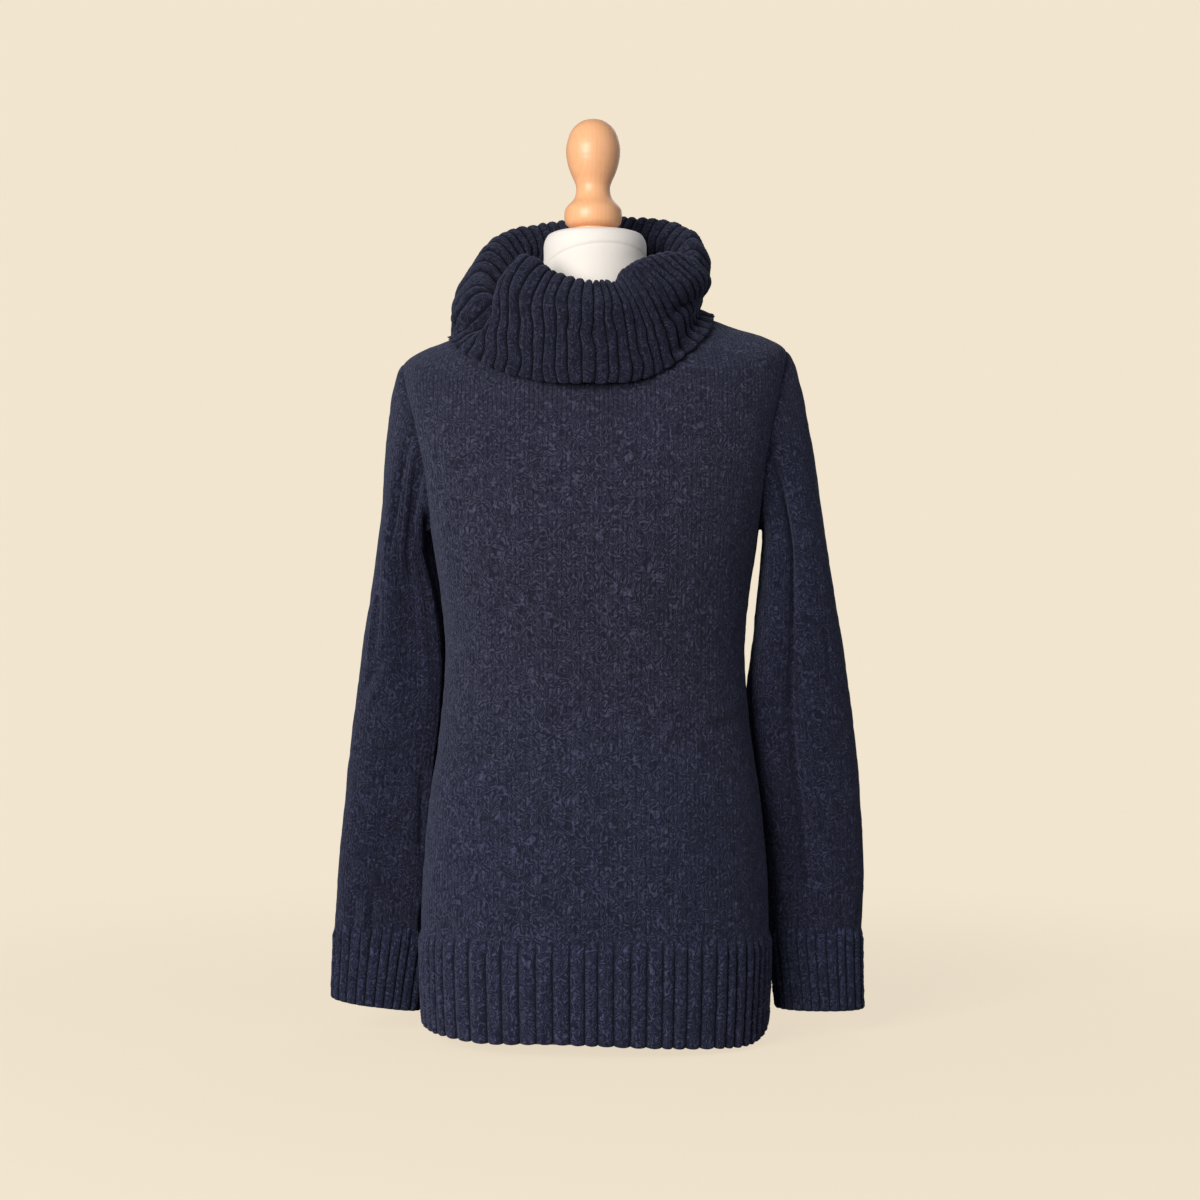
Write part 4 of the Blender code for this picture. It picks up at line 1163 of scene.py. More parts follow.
# %% [markdown]
# ## The sleeves
# Each sleeve is a knitted tube that starts at the armhole, bends over the shoulder
# point and hangs straight down, a little behind the body's middle.  It could be swept
# along a path, but its section changes from a tall oval at the armhole to a flat one
# at the wrist.  So the cap is a smooth blend from the armhole's loop to the first
# level ring, and below it the section is read from a table for each arm.

# %% The sleeves' tables
SLEEVE_CAP_END = 0.500
CUFF_TOP = 0.112
CUFF_BOTTOM = 0.037
CUFF_DROP = {1: (0.011, 0.010), -1: (0.001, 0.014)}
SLEEVE_SQUARENESS = 2.25

SLEEVE_LEFT_ARM = columns("z  inner_x  outer_x  middle_y  half_depth", """
    0.026 0.1905 0.2775 0.022 0.024
    0.060 0.1860 0.2765 0.024 0.025
    0.098 0.1800 0.2765 0.026 0.026
    0.115 0.1775 0.2775 0.027 0.028
    0.160 0.1735 0.2795 0.028 0.032
    0.223 0.1680 0.2775 0.028 0.036
    0.285 0.1590 0.2725 0.026 0.040
    0.347 0.1560 0.2645 0.020 0.044
    0.409 0.1630 0.2550 0.012 0.048
    0.471 0.1690 0.2440 0.006 0.051
    0.500 0.1712 0.2390 0.003 0.052
""")
SLEEVE_RIGHT_ARM = columns("z  inner_x  outer_x  middle_y  half_depth", """
    0.026 0.1860 0.2735 0.028 0.024
    0.060 0.1800 0.2730 0.032 0.025
    0.098 0.1720 0.2720 0.036 0.026
    0.115 0.1690 0.2720 0.038 0.028
    0.160 0.1640 0.2700 0.040 0.032
    0.223 0.1580 0.2635 0.041 0.036
    0.285 0.1500 0.2575 0.040 0.040
    0.347 0.1430 0.2495 0.037 0.044
    0.409 0.1450 0.2410 0.031 0.048
    0.471 0.1570 0.2310 0.025 0.051
    0.500 0.1650 0.2265 0.019 0.052
""")

SLEEVE_CREASES = {
    1: columns("around  z_low  z_high  half_turn  depth", """
         99 0.120 0.640 15 -0.0090
        134 0.180 0.600 20  0.0035
         45 0.180 0.560 22  0.0030
        255 0.200 0.560 26 -0.0060
    """),
    -1: columns("around  z_low  z_high  half_turn  depth", """
         62 0.380 0.660 20  0.0040
         98 0.330 0.640 17 -0.0065
         88 0.130 0.330 22 -0.0040
        262 0.180 0.560 26 -0.0060
    """),
}
CREASE_ENDS = (0.06, 0.08)  # heights over which a crease fades out, below and above
print("long creases a sleeve:", [len(table["depth"]) for table in SLEEVE_CREASES.values()])


# %% The sleeve's surface
def armhole_point(side, turn):
    """A point on the armhole seam; turn 0 is the shoulder and pi the underarm."""
    level = ARMHOLE_MIDDLE + ARMHOLE_HALF * np.cos(turn)
    theta = -ARMHOLE_HALF_ANGLE * np.sin(turn)
    theta = theta if side > 0 else math.pi - theta
    return body_point(level, theta), body_normal(level, theta)


def tube_point(side, z, turn):
    """A point of the hanging sleeve; turn 0 is its outer edge, 90 degrees its front."""
    table = SLEEVE_LEFT_ARM if side > 0 else SLEEVE_RIGHT_ARM
    read = read_off(table, "z", z)
    power = 2 / SLEEVE_SQUARENESS
    sine, cosine = np.sin(turn), np.cos(turn)
    middle = (read["outer_x"] + read["inner_x"]) / 2
    half = (read["outer_x"] - read["inner_x"]) / 2
    x = side * (middle + half * powered(cosine, power))
    y = read["middle_y"] - read["half_depth"] * powered(sine, power)
    outer_drop, inner_drop = CUFF_DROP[side]
    drop = outer_drop + (inner_drop - outer_drop) * (1 - cosine) / 2
    drop = drop * (1 - ease_between(z, CUFF_BOTTOM, CUFF_TOP))
    return np.stack(np.broadcast_arrays(x, y, z - drop), axis=-1)


def sleeve_smooth_point(side, along, turn):
    """along is 0 at the armhole, 1 where the cap ends, and 2 at the floor's height."""
    along, turn = np.broadcast_arrays(along, turn)
    start, _ = armhole_point(side, turn)
    end = tube_point(side, SLEEVE_CAP_END, turn)
    outward = (1 + np.cos(turn)) / 2
    flat = np.zeros_like(outward)
    # How the cap leaves the armhole and meets the tube, more strongly at its outer edge.
    leave = np.stack([side * (0.018 + 0.036 * outward), flat, 0.010 - 0.028 * outward], -1)
    arrive = np.stack([side * 0.030 * outward, flat, -0.050 - 0.150 * outward], -1)
    t = np.clip(along, 0, 1)[..., None]
    cap = (
        (2 * t**3 - 3 * t**2 + 1) * start
        + (t**3 - 2 * t**2 + t) * leave
        + (3 * t**2 - 2 * t**3) * end
        + (t**3 - t**2) * arrive
    )
    tube = tube_point(side, SLEEVE_CAP_END * (2 - np.maximum(along, 1)), turn)
    return np.where(along[..., None] < 1, cap, tube)


wrist_ring = tube_point(1, CUFF_TOP, np.linspace(0, 2 * math.pi, 181))
print("round the wrist:", round(float(run_along(wrist_ring, axis=0)[-1]), 3), "m")


# %% The sleeve's creases, and its place beside the body
def main_creases(side, z, turn):
    """The long troughs and ridges that run down the sleeve."""
    push = np.zeros(turn.shape)
    for around, low, high, half_turn, depth in zip(*SLEEVE_CREASES[side].values()):
        away = angle_from(np.degrees(turn), around)
        bottom, top = low + CREASE_ENDS[0], high - CREASE_ENDS[1]
        run = ease_between(z, low, bottom) * (1 - ease_between(z, top, high))
        push += depth * bell(away / half_turn) * run
    return push


def sleeve_frame(side, along, turn):
    """The sleeve's skin with its creases, and the outward direction at each point."""

    def surface(a, b):
        return sleeve_smooth_point(side, a, b)

    points = surface(along, turn)
    outward = normals_of(surface, np.maximum(along, 0.012), turn, 0.008, 0.02) * -side
    _, seam_normal = armhole_point(side, turn)
    outward = unit(mix(seam_normal, outward, ease_between(along, 0, 0.10)))
    z = points[..., 2]
    folds = SLEEVE_FOLDS[side] | {
        "from_a": SLEEVE_FOLDS[side]["from_a"] * METRES_A_DEGREE,
        "to_a": SLEEVE_FOLDS[side]["to_a"] * METRES_A_DEGREE,
    }
    push = main_creases(side, z, turn)
    push += fold_push(np.degrees(turn) * METRES_A_DEGREE, z, folds)
    points = points + outward * push[..., None]
    ribbed = 1 - ease_between(points[..., 2], HEM_TOP, HEM_TOP + 0.03)
    gaps = HANG_GAP + (RIB_HANG_GAP - HANG_GAP) * ribbed
    gaps = gaps * ease_between(points[..., 2], UNDERARM, UNDERARM - 0.012)
    return points + push_clear(points, gaps, below_underarm, sideways=True), outward


elbow = 1000 * main_creases(-1, 0.4, np.linspace(0, 2 * math.pi, 181))
print("creases round the right elbow:", elbow.min().round(1), "to", elbow.max().round(1), "mm")

# %% [markdown]
# ## Build the sleeves
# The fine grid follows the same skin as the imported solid, so the visible sleeve fills
# the space that its collision pieces fill.  Where the sleeve meets the panels, its
# edge lies on the armhole seam and dips with it.

# %% Build both sleeves
SLEEVE_COLUMNS = 200
CAP_ROWS = 62
TUBE_ROWS = 128


def ring_map(skin, rib_stitches=None):
    """Stitches round and rows down for a closed ring, first column repeated."""
    ring = looped(skin)
    stitches = round(run_along(ring, axis=1)[:, -1].mean() / STITCH_WIDTH)
    across = np.linspace(0, stitches, ring.shape[1]) if rib_stitches is None else rib_stitches
    return stitch_map(across, -run_along(ring, axis=0) / ROW_HEIGHT)


def build_sleeve(name, side):
    last = 2 - CUFF_TOP / SLEEVE_CAP_END
    rows = np.concatenate([np.linspace(0, 1, CAP_ROWS)[:-1], np.linspace(1, last, TUBE_ROWS)])
    turns = np.arange(SLEEVE_COLUMNS) * 2 * math.pi / SLEEVE_COLUMNS
    along, turn = np.meshgrid(rows, turns, indexing="ij")
    skin, outward = sleeve_frame(side, along, turn)
    run = run_along(skin, axis=0)
    push = knit_lumps(skin) - SEAM_DIP * bell(run / SEAM_HALF_WIDTH)
    outer = skin + outward * push[..., None]
    inner = thinned(skin - outward * KNIT_WALL, HIDDEN_STEP, HIDDEN_STEP, closed=True)
    return wall(name, outer, inner, ring_map(skin), closed=True, finish=sleeve_yarn)


sleeve_left = build_sleeve("knit_sleeve_left", 1)
sleeve_right = build_sleeve("knit_sleeve_right", -1)

# %% [markdown]
# ## The cuffs
# A cuff is a shorter, snug band of narrower ribs.  It is knitted on from the sleeve's
# last row, so it starts on the same ring of points, and its ribs fade in below it.

# %% Build both cuffs
CUFF_RIBS = 24
CUFF_ROWS = 46
CUFF_RELIEF = 0.8 * RIB_RELIEF
CUFF_FADE = 0.011
CUFF_PLAIT = 0.0002


def build_cuff(name, side, seed):
    edges = uneven_edges(CUFF_RIBS, 0.10, seed)
    shares, phase, ribs = rib_columns(edges)
    turns = even_angles(lambda turn: tube_point(side, CUFF_TOP, turn), 0, 2 * math.pi, shares)
    heights = np.linspace(CUFF_TOP, CUFF_BOTTOM, CUFF_ROWS)
    along, turn = np.meshgrid(2 - heights / SLEEVE_CAP_END, turns, indexing="ij")
    skin, outward = sleeve_frame(side, along, turn)
    rows = run_along(skin, axis=0) / ROW_HEIGHT
    outer, inner = band_faces(
        skin, outward,
        relief=CUFF_RELIEF * rib_height(phase), strokes=CUFF_PLAIT * plait(phase, rows),
        fade=rib_top_fade((CUFF_TOP - heights)[:, None], ribs, CUFF_FADE, seed),
        thin=edge_thinning(heights - CUFF_BOTTOM)[:, None], closed=True,
    )
    stitches = np.append((ribs + phase) * WALES_A_RIB, CUFF_RIBS * WALES_A_RIB)
    return wall(name, outer, inner, ring_map(skin, stitches), closed=True, finish=cuff_yarn)


cuff_left = build_cuff("ribbed_cuff_left", 1, seed=21)
cuff_right = build_cuff("ribbed_cuff_right", -1, seed=22)

# %% [markdown]
# ## The folded collar
# The collar is one long ribbed tube.  It stands up from the neck seam, rolls over and
# falls outside, and it is twisted and pinched: high behind, pushed down at the
# wearer's right front, with its ribs swirling to a pinch beside the neck.  A pose
# like that is hard to get from a simulation.  So at nineteen places round the neck a
# table says where the roll's crest, the fall and the free edge are, and the knit
# passes smoothly through those key points.

# %% The collar's tables
COLLAR = columns("edge_deg  crest_turn  crest_r  crest_z  roll  fall_r  edge_r  edge_z", """
    -172   0 0.0960 0.8545 0.014 0.1110 0.1010 0.7360
    -150   0 0.1030 0.8470 0.014 0.1180 0.1110 0.7310
    -128   0 0.1125 0.8360 0.015 0.1310 0.1310 0.7250
    -110   2 0.1130 0.8160 0.016 0.1380 0.1400 0.7190
     -97   6 0.1165 0.7880 0.016 0.1395 0.1380 0.7155
     -85  12 0.1215 0.7570 0.014 0.1410 0.1425 0.7110
     -73  13 0.1070 0.7410 0.009 0.1370 0.1475 0.7035
     -62   8 0.0990 0.7470 0.009 0.1300 0.1480 0.6945
     -50   4 0.1030 0.7830 0.014 0.1275 0.1350 0.6800
     -26   0 0.0950 0.7700 0.019 0.1195 0.1195 0.6640
       0  -2 0.0930 0.7590 0.019 0.1175 0.1145 0.6615
      20  -8 0.0900 0.7640 0.018 0.1150 0.1150 0.6640
      42 -20 0.0905 0.7750 0.019 0.1140 0.1200 0.6830
      62 -30 0.0920 0.7845 0.020 0.1085 0.1250 0.7125
      82 -31 0.0950 0.7920 0.016 0.1030 0.1180 0.7315
     106 -19 0.0980 0.7980 0.011 0.1040 0.1115 0.7355
     120 -15 0.1050 0.8240 0.013 0.1110 0.1125 0.7370
     134  -9 0.1050 0.8420 0.014 0.1150 0.1130 0.7340
     162  -2 0.0990 0.8545 0.014 0.1130 0.1030 0.7360
""")

COLLAR_DENTS = columns("deg  along  half_turn  half_along  depth", """
    -64 0.62  8 0.12 -0.0100
    -72 0.78  9 0.12 -0.0040
     22 0.52  7 0.07 -0.0050
     66 0.80 16 0.16 -0.0040
""")
# The creases are sharper folds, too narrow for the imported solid.
COLLAR_CREASES = columns("deg  along  half_turn  half_along  depth", """
     -68  0.58  5  0.10 -0.0060
     -54  0.60  5  0.12  0.0040
     -84  0.52  7  0.07  0.0035
      -5  0.61 28  0.06  0.0030
      88  0.62 14  0.10  0.0040
      68  0.71 15  0.12  0.0085
      62 0.830 13  0.05  0.0040
      84 0.800 12  0.05  0.0030
      47 0.945  7 0.035 -0.0045
      64 0.920 12 0.040 -0.0070
      88 0.905 16 0.035 -0.0070
     118 0.880 12 0.040 -0.0030
     -80 0.780  4  0.09 -0.0030
      30 0.620  5  0.10 -0.0025
     -30 0.880  6  0.06 -0.0020
     150 0.720  7  0.12 -0.0035
    -150 0.740  7  0.12 -0.0035
""")
COLLAR_KEY_PLACES = np.array([0.0, 0.22, 0.43, 0.51, 0.59, 0.80, 1.0])
print("places round the neck in the collar's table:", len(COLLAR["roll"]))


# %% The collar's surface
def polar(radius, deg, z):
    """A point round the neck; deg 0 is the front and 90 is +X."""
    turn = np.radians(deg)
    return np.stack([radius * np.sin(turn), -radius * np.cos(turn), z], axis=-1)


def collar_keys(deg):
    """The points that the knit passes through, from the neck seam to its free edge."""
    read = {
        name: smooth_round(deg, COLLAR["edge_deg"], COLLAR[name])
        for name in COLLAR
        if name != "edge_deg"
    }
    seam = body_point(np.full_like(deg, NECKLINE), np.radians(deg - 90))
    crest_deg = deg + read["crest_turn"]
    roll = read["roll"]
    rim = polar(read["crest_r"] - roll, crest_deg, read["crest_z"] - roll)
    crest = polar(read["crest_r"], crest_deg, read["crest_z"])
    brow = polar(read["crest_r"] + roll, deg + 0.8 * read["crest_turn"], read["crest_z"] - roll)
    fall_z = 0.42 * read["crest_z"] + 0.58 * read["edge_z"]
    fall = polar(read["fall_r"], deg + 0.35 * read["crest_turn"], fall_z)
    edge = polar(read["edge_r"], deg, read["edge_z"])
    return [seam, seam * 0.5 + rim * 0.5, rim, crest, brow, fall, edge]


def collar_smooth_point(along, deg):
    """A point of the collar at that share of the knit's length from its seam."""
    along, deg = np.broadcast_arrays(along, deg)
    keys = np.stack(collar_keys(deg))
    slopes = np.gradient(keys, COLLAR_KEY_PLACES, axis=0)
    at = np.clip(along, 0, 1)
    i = np.searchsorted(COLLAR_KEY_PLACES, at, side="right") - 1
    i = np.clip(i, 0, len(COLLAR_KEY_PLACES) - 2)
    span = (COLLAR_KEY_PLACES[i + 1] - COLLAR_KEY_PLACES[i])[..., None]
    t = (at - COLLAR_KEY_PLACES[i])[..., None] / span

    def pick(stack, index):
        return np.take_along_axis(stack, index[None, ..., None], axis=0)[0]

    start = pick(keys, i)
    rise = pick(keys, i + 1) - start
    bend_in = pick(slopes, i) * span - rise
    bend_out = rise - pick(slopes, i + 1) * span
    return start + t * rise + t * (1 - t) * (bend_in * (1 - t) + bend_out * t)


def collar_frame(along, deg):
    """Points on the hidden face of the folded knit, and its showing direction."""
    along, deg = np.broadcast_arrays(along, deg)
    safe = np.clip(along, 0.004, 0.996)
    showing = normals_of(collar_smooth_point, safe, deg, 0.003, 0.3)
    seam_normal = -body_normal(np.full_like(deg, NECKLINE), np.radians(deg - 90))
    showing = unit(mix(seam_normal, showing, ease_between(along, 0, 0.12)))
    points = collar_smooth_point(along, deg)
    push = np.zeros(deg.shape)
    for table in (COLLAR_DENTS, COLLAR_CREASES):
        for where, place, half_turn, half_along, depth in zip(*table.values()):
            away = angle_from(deg, where) / half_turn
            push += depth * bell(away) * bell((along - place) / half_along)
    return points + showing * push[..., None], showing


front_line = collar_smooth_point(np.linspace(0, 1, 101), np.zeros(101))
front_length = float(run_along(front_line, axis=0)[-1])
print("knit from seam to edge in front:", round(front_length, 3), "m")

# %% [markdown]
# ## Build the collar
# The ribs run along the knit from the seam to the free edge, so they follow every twist
# of the fold by themselves.  Each one wanders a little and stands a little higher or
# lower than the next, as hand-knitted ribs do.

# %% Build the collar
COLLAR_RIBS = 60
COLLAR_ROWS = 142
COLLAR_LENGTH = 0.235  # of the knit, from seam to free edge
RIB_WANDER = 1.2  # degrees
COLLAR_RELIEF = 0.0043
COLLAR_ROUNDING = 0.58
EDGE_SCALLOP = 0.006  # of the knit's length, by which the ribs' ends differ
COLLAR_LUMPS = (0.0006, 0.009)  # how high and how wide
COLLAR_PLAIT = 0.00025
HIDDEN_COLLAR_STEPS = (4, 5)


def build_collar(name):
    edges = uneven_edges(COLLAR_RIBS, 0.10, seed=31) * 360
    degs, phase, ribs = rib_columns(edges)
    rows = np.linspace(0, 1, COLLAR_ROWS)
    along, deg = np.meshgrid(rows, degs, indexing="ij")
    unrolled = polar(0.1, deg, along * COLLAR_LENGTH)
    deg = deg + RIB_WANDER * soft_noise(unrolled, 0.020, seed=32) * ease_between(along, 0, 0.2)
    ends = np.random.default_rng(34).uniform(0.0, 1.0, COLLAR_RIBS)[ribs]
    ends = EDGE_SCALLOP * (ends + 1.0 - rib_height(phase))
    hidden, direction = collar_frame(along * (1 - ends), deg)
    hidden += push_clear(hidden, REST_GAP * (along > 0.6), over_shoulders)
    height = np.random.default_rng(33).uniform(0.86, 1.10, COLLAR_RIBS)[ribs]
    fade = ease_between(along, 0.0, 0.08)
    thin = edge_thinning((1 - along) * COLLAR_LENGTH)
    relief = COLLAR_RELIEF * height * rib_height(phase, COLLAR_ROUNDING)
    relief = relief * (1 - EDGE_FLATTENING * thin)
    lump_height, lump_size = COLLAR_LUMPS
    lumps = rib_lumps(hidden) + lump_height * soft_noise(hidden, lump_size, seed=35)
    stitch_rows = along * COLLAR_LENGTH / ROW_HEIGHT
    push = RIB_WALL - 0.8 * EDGE_THIN * thin
    push = push + fade * (relief + lumps + COLLAR_PLAIT * plait(phase, stitch_rows))
    outer = hidden + direction * push[..., None]
    inner = hidden + direction * (0.4 * EDGE_THIN * thin)[..., None]
    inner = thinned(inner, *HIDDEN_COLLAR_STEPS, closed=True)
    stitches = np.append((ribs + phase) * WALES_A_RIB, COLLAR_RIBS * WALES_A_RIB)
    knit = stitch_map(stitches, rows[:, None] * COLLAR_LENGTH / ROW_HEIGHT)
    return wall(name, outer, inner, knit, closed=True, finish=collar_yarn)


collar = build_collar("ribbed_turtleneck_collar")

# %% [markdown]
# ## The dress form
# The form is a padded torso covered in jersey.  Only its neck shows, with a cap that
# is sewn on along a curved seam, but the rest fills the sweater and stands on a flat
# foot, so it is made smooth and whole.  A stack of rings is lofted: the key rings
# follow the garment's own table, drawn in by the wall and a little ease, and a smooth
# curve through them gives the rings between.

# %% The torso's key rings
FORM_NECK = columns("side_z  front_z  back_z  half_width  front_depth  back_depth  square", """
     0.741  0.696  0.759 0.0890 0.0740 0.0680 2.20
     0.753  0.712  0.771 0.0680 0.0620 0.0610 2.10
     0.773  0.743  0.786 0.0575 0.0550 0.0560 2.00
     0.800  0.785  0.804 0.0527 0.0522 0.0522 2.00
    0.8205 0.8205 0.8205 0.0508 0.0503 0.0503 2.00
    0.8245 0.8245 0.8245 0.0487 0.0483 0.0483 2.00
    0.8270 0.8270 0.8270 0.0440 0.0437 0.0437 2.00
    0.8285 0.8285 0.8285 0.0335 0.0335 0.0335 2.00
""")
FORM_FOOT_HEIGHT = 0.040
FORM_FOOT_SCALE = {"side": 0.76, "front": 0.28, "back": 0.68}
FORM_SIDES = 128
KNOB_SEAT = 0.8285
KNOB_X = -0.0020
JERSEY_STITCH = 0.0011
JERSEY_ROUND_NECK = 0.33
NECK_SEAM_WIDTH = 0.0011
NECK_SEAM_DEPTH = 0.0006
NECK_SEAM_PUCKERS = 34
CAP_LIFT = 0.0004
CAP_START = (0.755, 0.768)  # heights between which the cap's relief comes in
CAP_END = (0.8175, 0.8250)
ROUND_MAP = (0.0, 0.84)  # share of the flat map's width for the round side
END_MAPS = ((0.92, 0.1), (0.92, 0.3))  # middles of the flat ends' discs in the map
END_SIZE = 0.07


def form_key_rings():
    thetas = np.arange(FORM_SIDES) * 2 * math.pi / FORM_SIDES

    def under_cloth(side_z):
        ease = smooth(side_z, BODY["side_z"], BODY["ease"])
        levels = np.full_like(thetas, side_z)
        return body_point(levels, thetas) - body_normal(levels, thetas) * (KNIT_WALL + ease)

    full = under_cloth(FORM_FOOT_HEIGHT)
    towards_y = np.where(full[:, 1] < 0, FORM_FOOT_SCALE["front"], FORM_FOOT_SCALE["back"])
    foot = np.stack([np.full_like(towards_y, FORM_FOOT_SCALE["side"]), towards_y], -1)
    rings = []
    for turn in np.radians((0, 15, 30, 45, 62, 90)):
        ring = full.copy()
        ring[:, :2] *= foot + (1 - foot) * math.sin(turn)
        ring[:, 2] = FORM_FOOT_HEIGHT * (1 - math.cos(turn))
        rings.append(ring)
    beside = [0.115, 0.17, 0.23, 0.30, 0.36, 0.42, 0.47, 0.51, 0.55, 0.60, 0.64, 0.67, 0.69]
    levels = np.concatenate([beside, np.linspace(SHOULDER_POINT, NECKLINE, 5)])
    rings += [under_cloth(z) for z in levels]
    for side_z in FORM_NECK["side_z"]:
        rings.append(level_point(FORM_NECK, np.full_like(thetas, side_z), thetas))
    for ring in rings[-4:]:
        ring[:, 2] = ring[:, 2].mean()
    rings[-1][:, 2] = KNOB_SEAT
    return np.array(rings), thetas


print("key rings of the form:", len(form_key_rings()[0]))


# %% Build the torso
def between_keys(run, counts):
    """Places that divide each span between key places into so many steps."""
    spans = zip(run, run[1:], counts)
    return np.concatenate([np.linspace(a, b, n, endpoint=False) for a, b, n in spans])


def loft(rings, counts):
    """Smooth rings through key rings; counts is how many for each span."""
    run = run_along(rings, axis=0).mean(axis=1)
    at = np.append(between_keys(run, counts), run[-1])
    flat = rings.reshape(len(rings), -1)
    return np.stack([smooth(at, run, column) for column in flat.T], -1).reshape(len(at), -1, 3)


def solid_of_rings(name, grid, knit, finish):
    """A closed body of rings with flat ends, with both maps."""
    rows, wide, _ = grid.shape
    quads, places = grid_quads(rows, wide, True, 0)
    ends = [list(range(wide))[::-1], list(range((rows - 1) * wide, rows * wide))]
    turn = np.arange(wide) * 2 * math.pi / wide
    disc = np.stack([np.cos(turn), np.sin(turn)], -1)
    flat = [flat_places(places, rows, wide, ROUND_MAP)]
    flat += [END_SIZE * disc[::-1] + END_MAPS[0], END_SIZE * disc + END_MAPS[1]]
    stitches = [knit[places[..., 0], places[..., 1]].reshape(-1, 2), disc[::-1], disc]
    return add_piece(name, grid, quads.tolist() + ends, flat, stitches, finish)


def build_torso(name):
    rings, thetas = form_key_rings()
    spans = len(rings) - 1
    counts = [2] * 6 + [3] * (spans - 14) + [4, 6, 16, 26, 20, 6, 4, 4]
    grid = loft(rings, counts)
    outward = grid * (1, 1, 0)
    outward = outward / np.maximum(np.linalg.norm(outward, axis=-1, keepdims=True), 1e-6)
    middle, to_x, to_y = NECK_SEAM
    seam_z = middle + to_x * np.cos(thetas) + to_y * np.sin(thetas)
    above = grid[..., 2] - seam_z
    near_neck = ease_between(grid[..., 2], *CAP_START)
    pucker = 1 + 0.35 * np.sin(thetas * NECK_SEAM_PUCKERS)
    push = -NECK_SEAM_DEPTH * pucker * bell(above / NECK_SEAM_WIDTH)
    push = push + CAP_LIFT * ease_between(above, -0.0004, 0.0012)
    push = push * near_neck * (1 - ease_between(grid[..., 2], *CAP_END))
    grid = grid + outward * push[..., None]
    around = np.linspace(0, round(JERSEY_ROUND_NECK / JERSEY_STITCH), FORM_SIDES + 1)
    knit = stitch_map(around, run_along(looped(grid), axis=0) / JERSEY_STITCH)
    return solid_of_rings(name, grid, knit, jersey)


torso = build_torso("jersey_covered_torso")

# %% [markdown]
# ## The turned knob
# The knob is turned on a lathe from one block of beech, so its shape is one profile
# spun round.  Blender's Screw modifier would spin a curve in the same way.  The
# profile has a thin foot disc, a round ring, a waist and a long bulb; its corners are
# softened, as sanding leaves them.

# %% Build the knob
KNOB = columns("height  radius", """
    0.0000 0.0207
    0.0034 0.0199
    0.0042 0.0225
    0.0058 0.0258
    0.0085 0.0283
    0.0125 0.0295
    0.0185 0.0297
    0.0235 0.0286
    0.0275 0.0257
    0.0315 0.0217
    0.0355 0.0191
    0.0415 0.0176
    0.0465 0.0176
    0.0525 0.0195
    0.0600 0.0229
    0.0720 0.0266
    0.0810 0.0279
    0.0870 0.0278
    0.0940 0.0264
    0.1015 0.0238
    0.1065 0.0208
    0.1105 0.0168
    0.1140 0.0112
    0.1157 0.0055
    0.1162 0.0000
""")
KNOB_ROUND = 96
KNOB_STEPS = 6
KNOB_GAP = 0.0003
LATHE_MARK_DEPTH = 0.00006
LATHE_MARK_WIDTH = 0.0021
SMALLEST_RADIUS = 0.0004


def build_knob(name):
    run = run_along(np.stack([KNOB["height"], KNOB["radius"]], -1), axis=0)
    at = between_keys(run, [KNOB_STEPS] * (len(run) - 1))
    height, radius = smooth(at, run, KNOB["height"]), smooth(at, run, KNOB["radius"])
    turns = np.arange(KNOB_ROUND) * 2 * math.pi / KNOB_ROUND
    lathe_marks = LATHE_MARK_DEPTH * np.sin(height * 2 * math.pi / LATHE_MARK_WIDTH)
    radius = np.maximum(radius + lathe_marks, SMALLEST_RADIUS)[:, None]
    z = KNOB_SEAT + KNOB_GAP + height[:, None] + 0 * turns
    grid = np.stack([KNOB_X + radius * np.cos(turns), radius * np.sin(turns), z], -1)
    return solid_of_rings(name, grid, looped(grid)[..., :2] / STITCH_WIDTH, beech)


knob = build_knob("turned_beech_knob")

# %% [markdown]
# ## Tie every piece to the frame
# Each visible piece rides on the frame's only body and stands for the plain solid of the same
# part, which is hidden.

# %% Ride and replace
PIECES = {
    panel_front: ("body_front", "plain_knit"),
    panel_back: ("body_back", "plain_knit"),
    sleeve_left: ("sleeve_left", "plain_knit"),
    sleeve_right: ("sleeve_right", "plain_knit"),
    collar: ("collar", "rib_knit"),
    hem_front: ("hem_rib_front", "rib_knit"),
    hem_back: ("hem_rib_back", "rib_knit"),
    cuff_left: ("cuff_left", "rib_knit"),
    cuff_right: ("cuff_right", "rib_knit"),
    torso: ("form_torso", "form_jersey"),
    knob: ("form_knob", "turned_wood"),
}
for piece, (node, slot) in PIECES.items():
    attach(piece, "root")
    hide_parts(node)

print("pieces that stand for the frame's nodes:", len(PIECES))

# %% [markdown]
# ## Floor, backdrop and light
# The picture was cut out on plain warm beige, with soft light from the left and no
# hard shadow.  A curved studio sheet would hide the object from behind, so the
# backdrop is the world itself, and the floor is a disc that melts into it.  The
# world's visible colour and the light that it gives are set apart by the Light Path
# node.

# %% The world
BEIGE = (0.888, 0.783, 0.624)
WORLD_LIGHT = (0.90, 0.95, 1.08)
WORLD_STRENGTH = 0.26
FLOOR_RADIUS = 1.5
FLOOR_FADE = (FLOOR_RADIUS - 0.1, 0.35)  # distances where it has gone and is whole
FLOOR_DROP = 0.0006
FLOOR_SHARE = 0.16  # of the floor's brightness that takes light and shadow
FLOOR_GLOW = 0.1  # how strongly the floor lights the sweater


def emptied_tree(owner):
    owner.use_nodes = True
    owner.node_tree.nodes.clear()
    return owner.node_tree


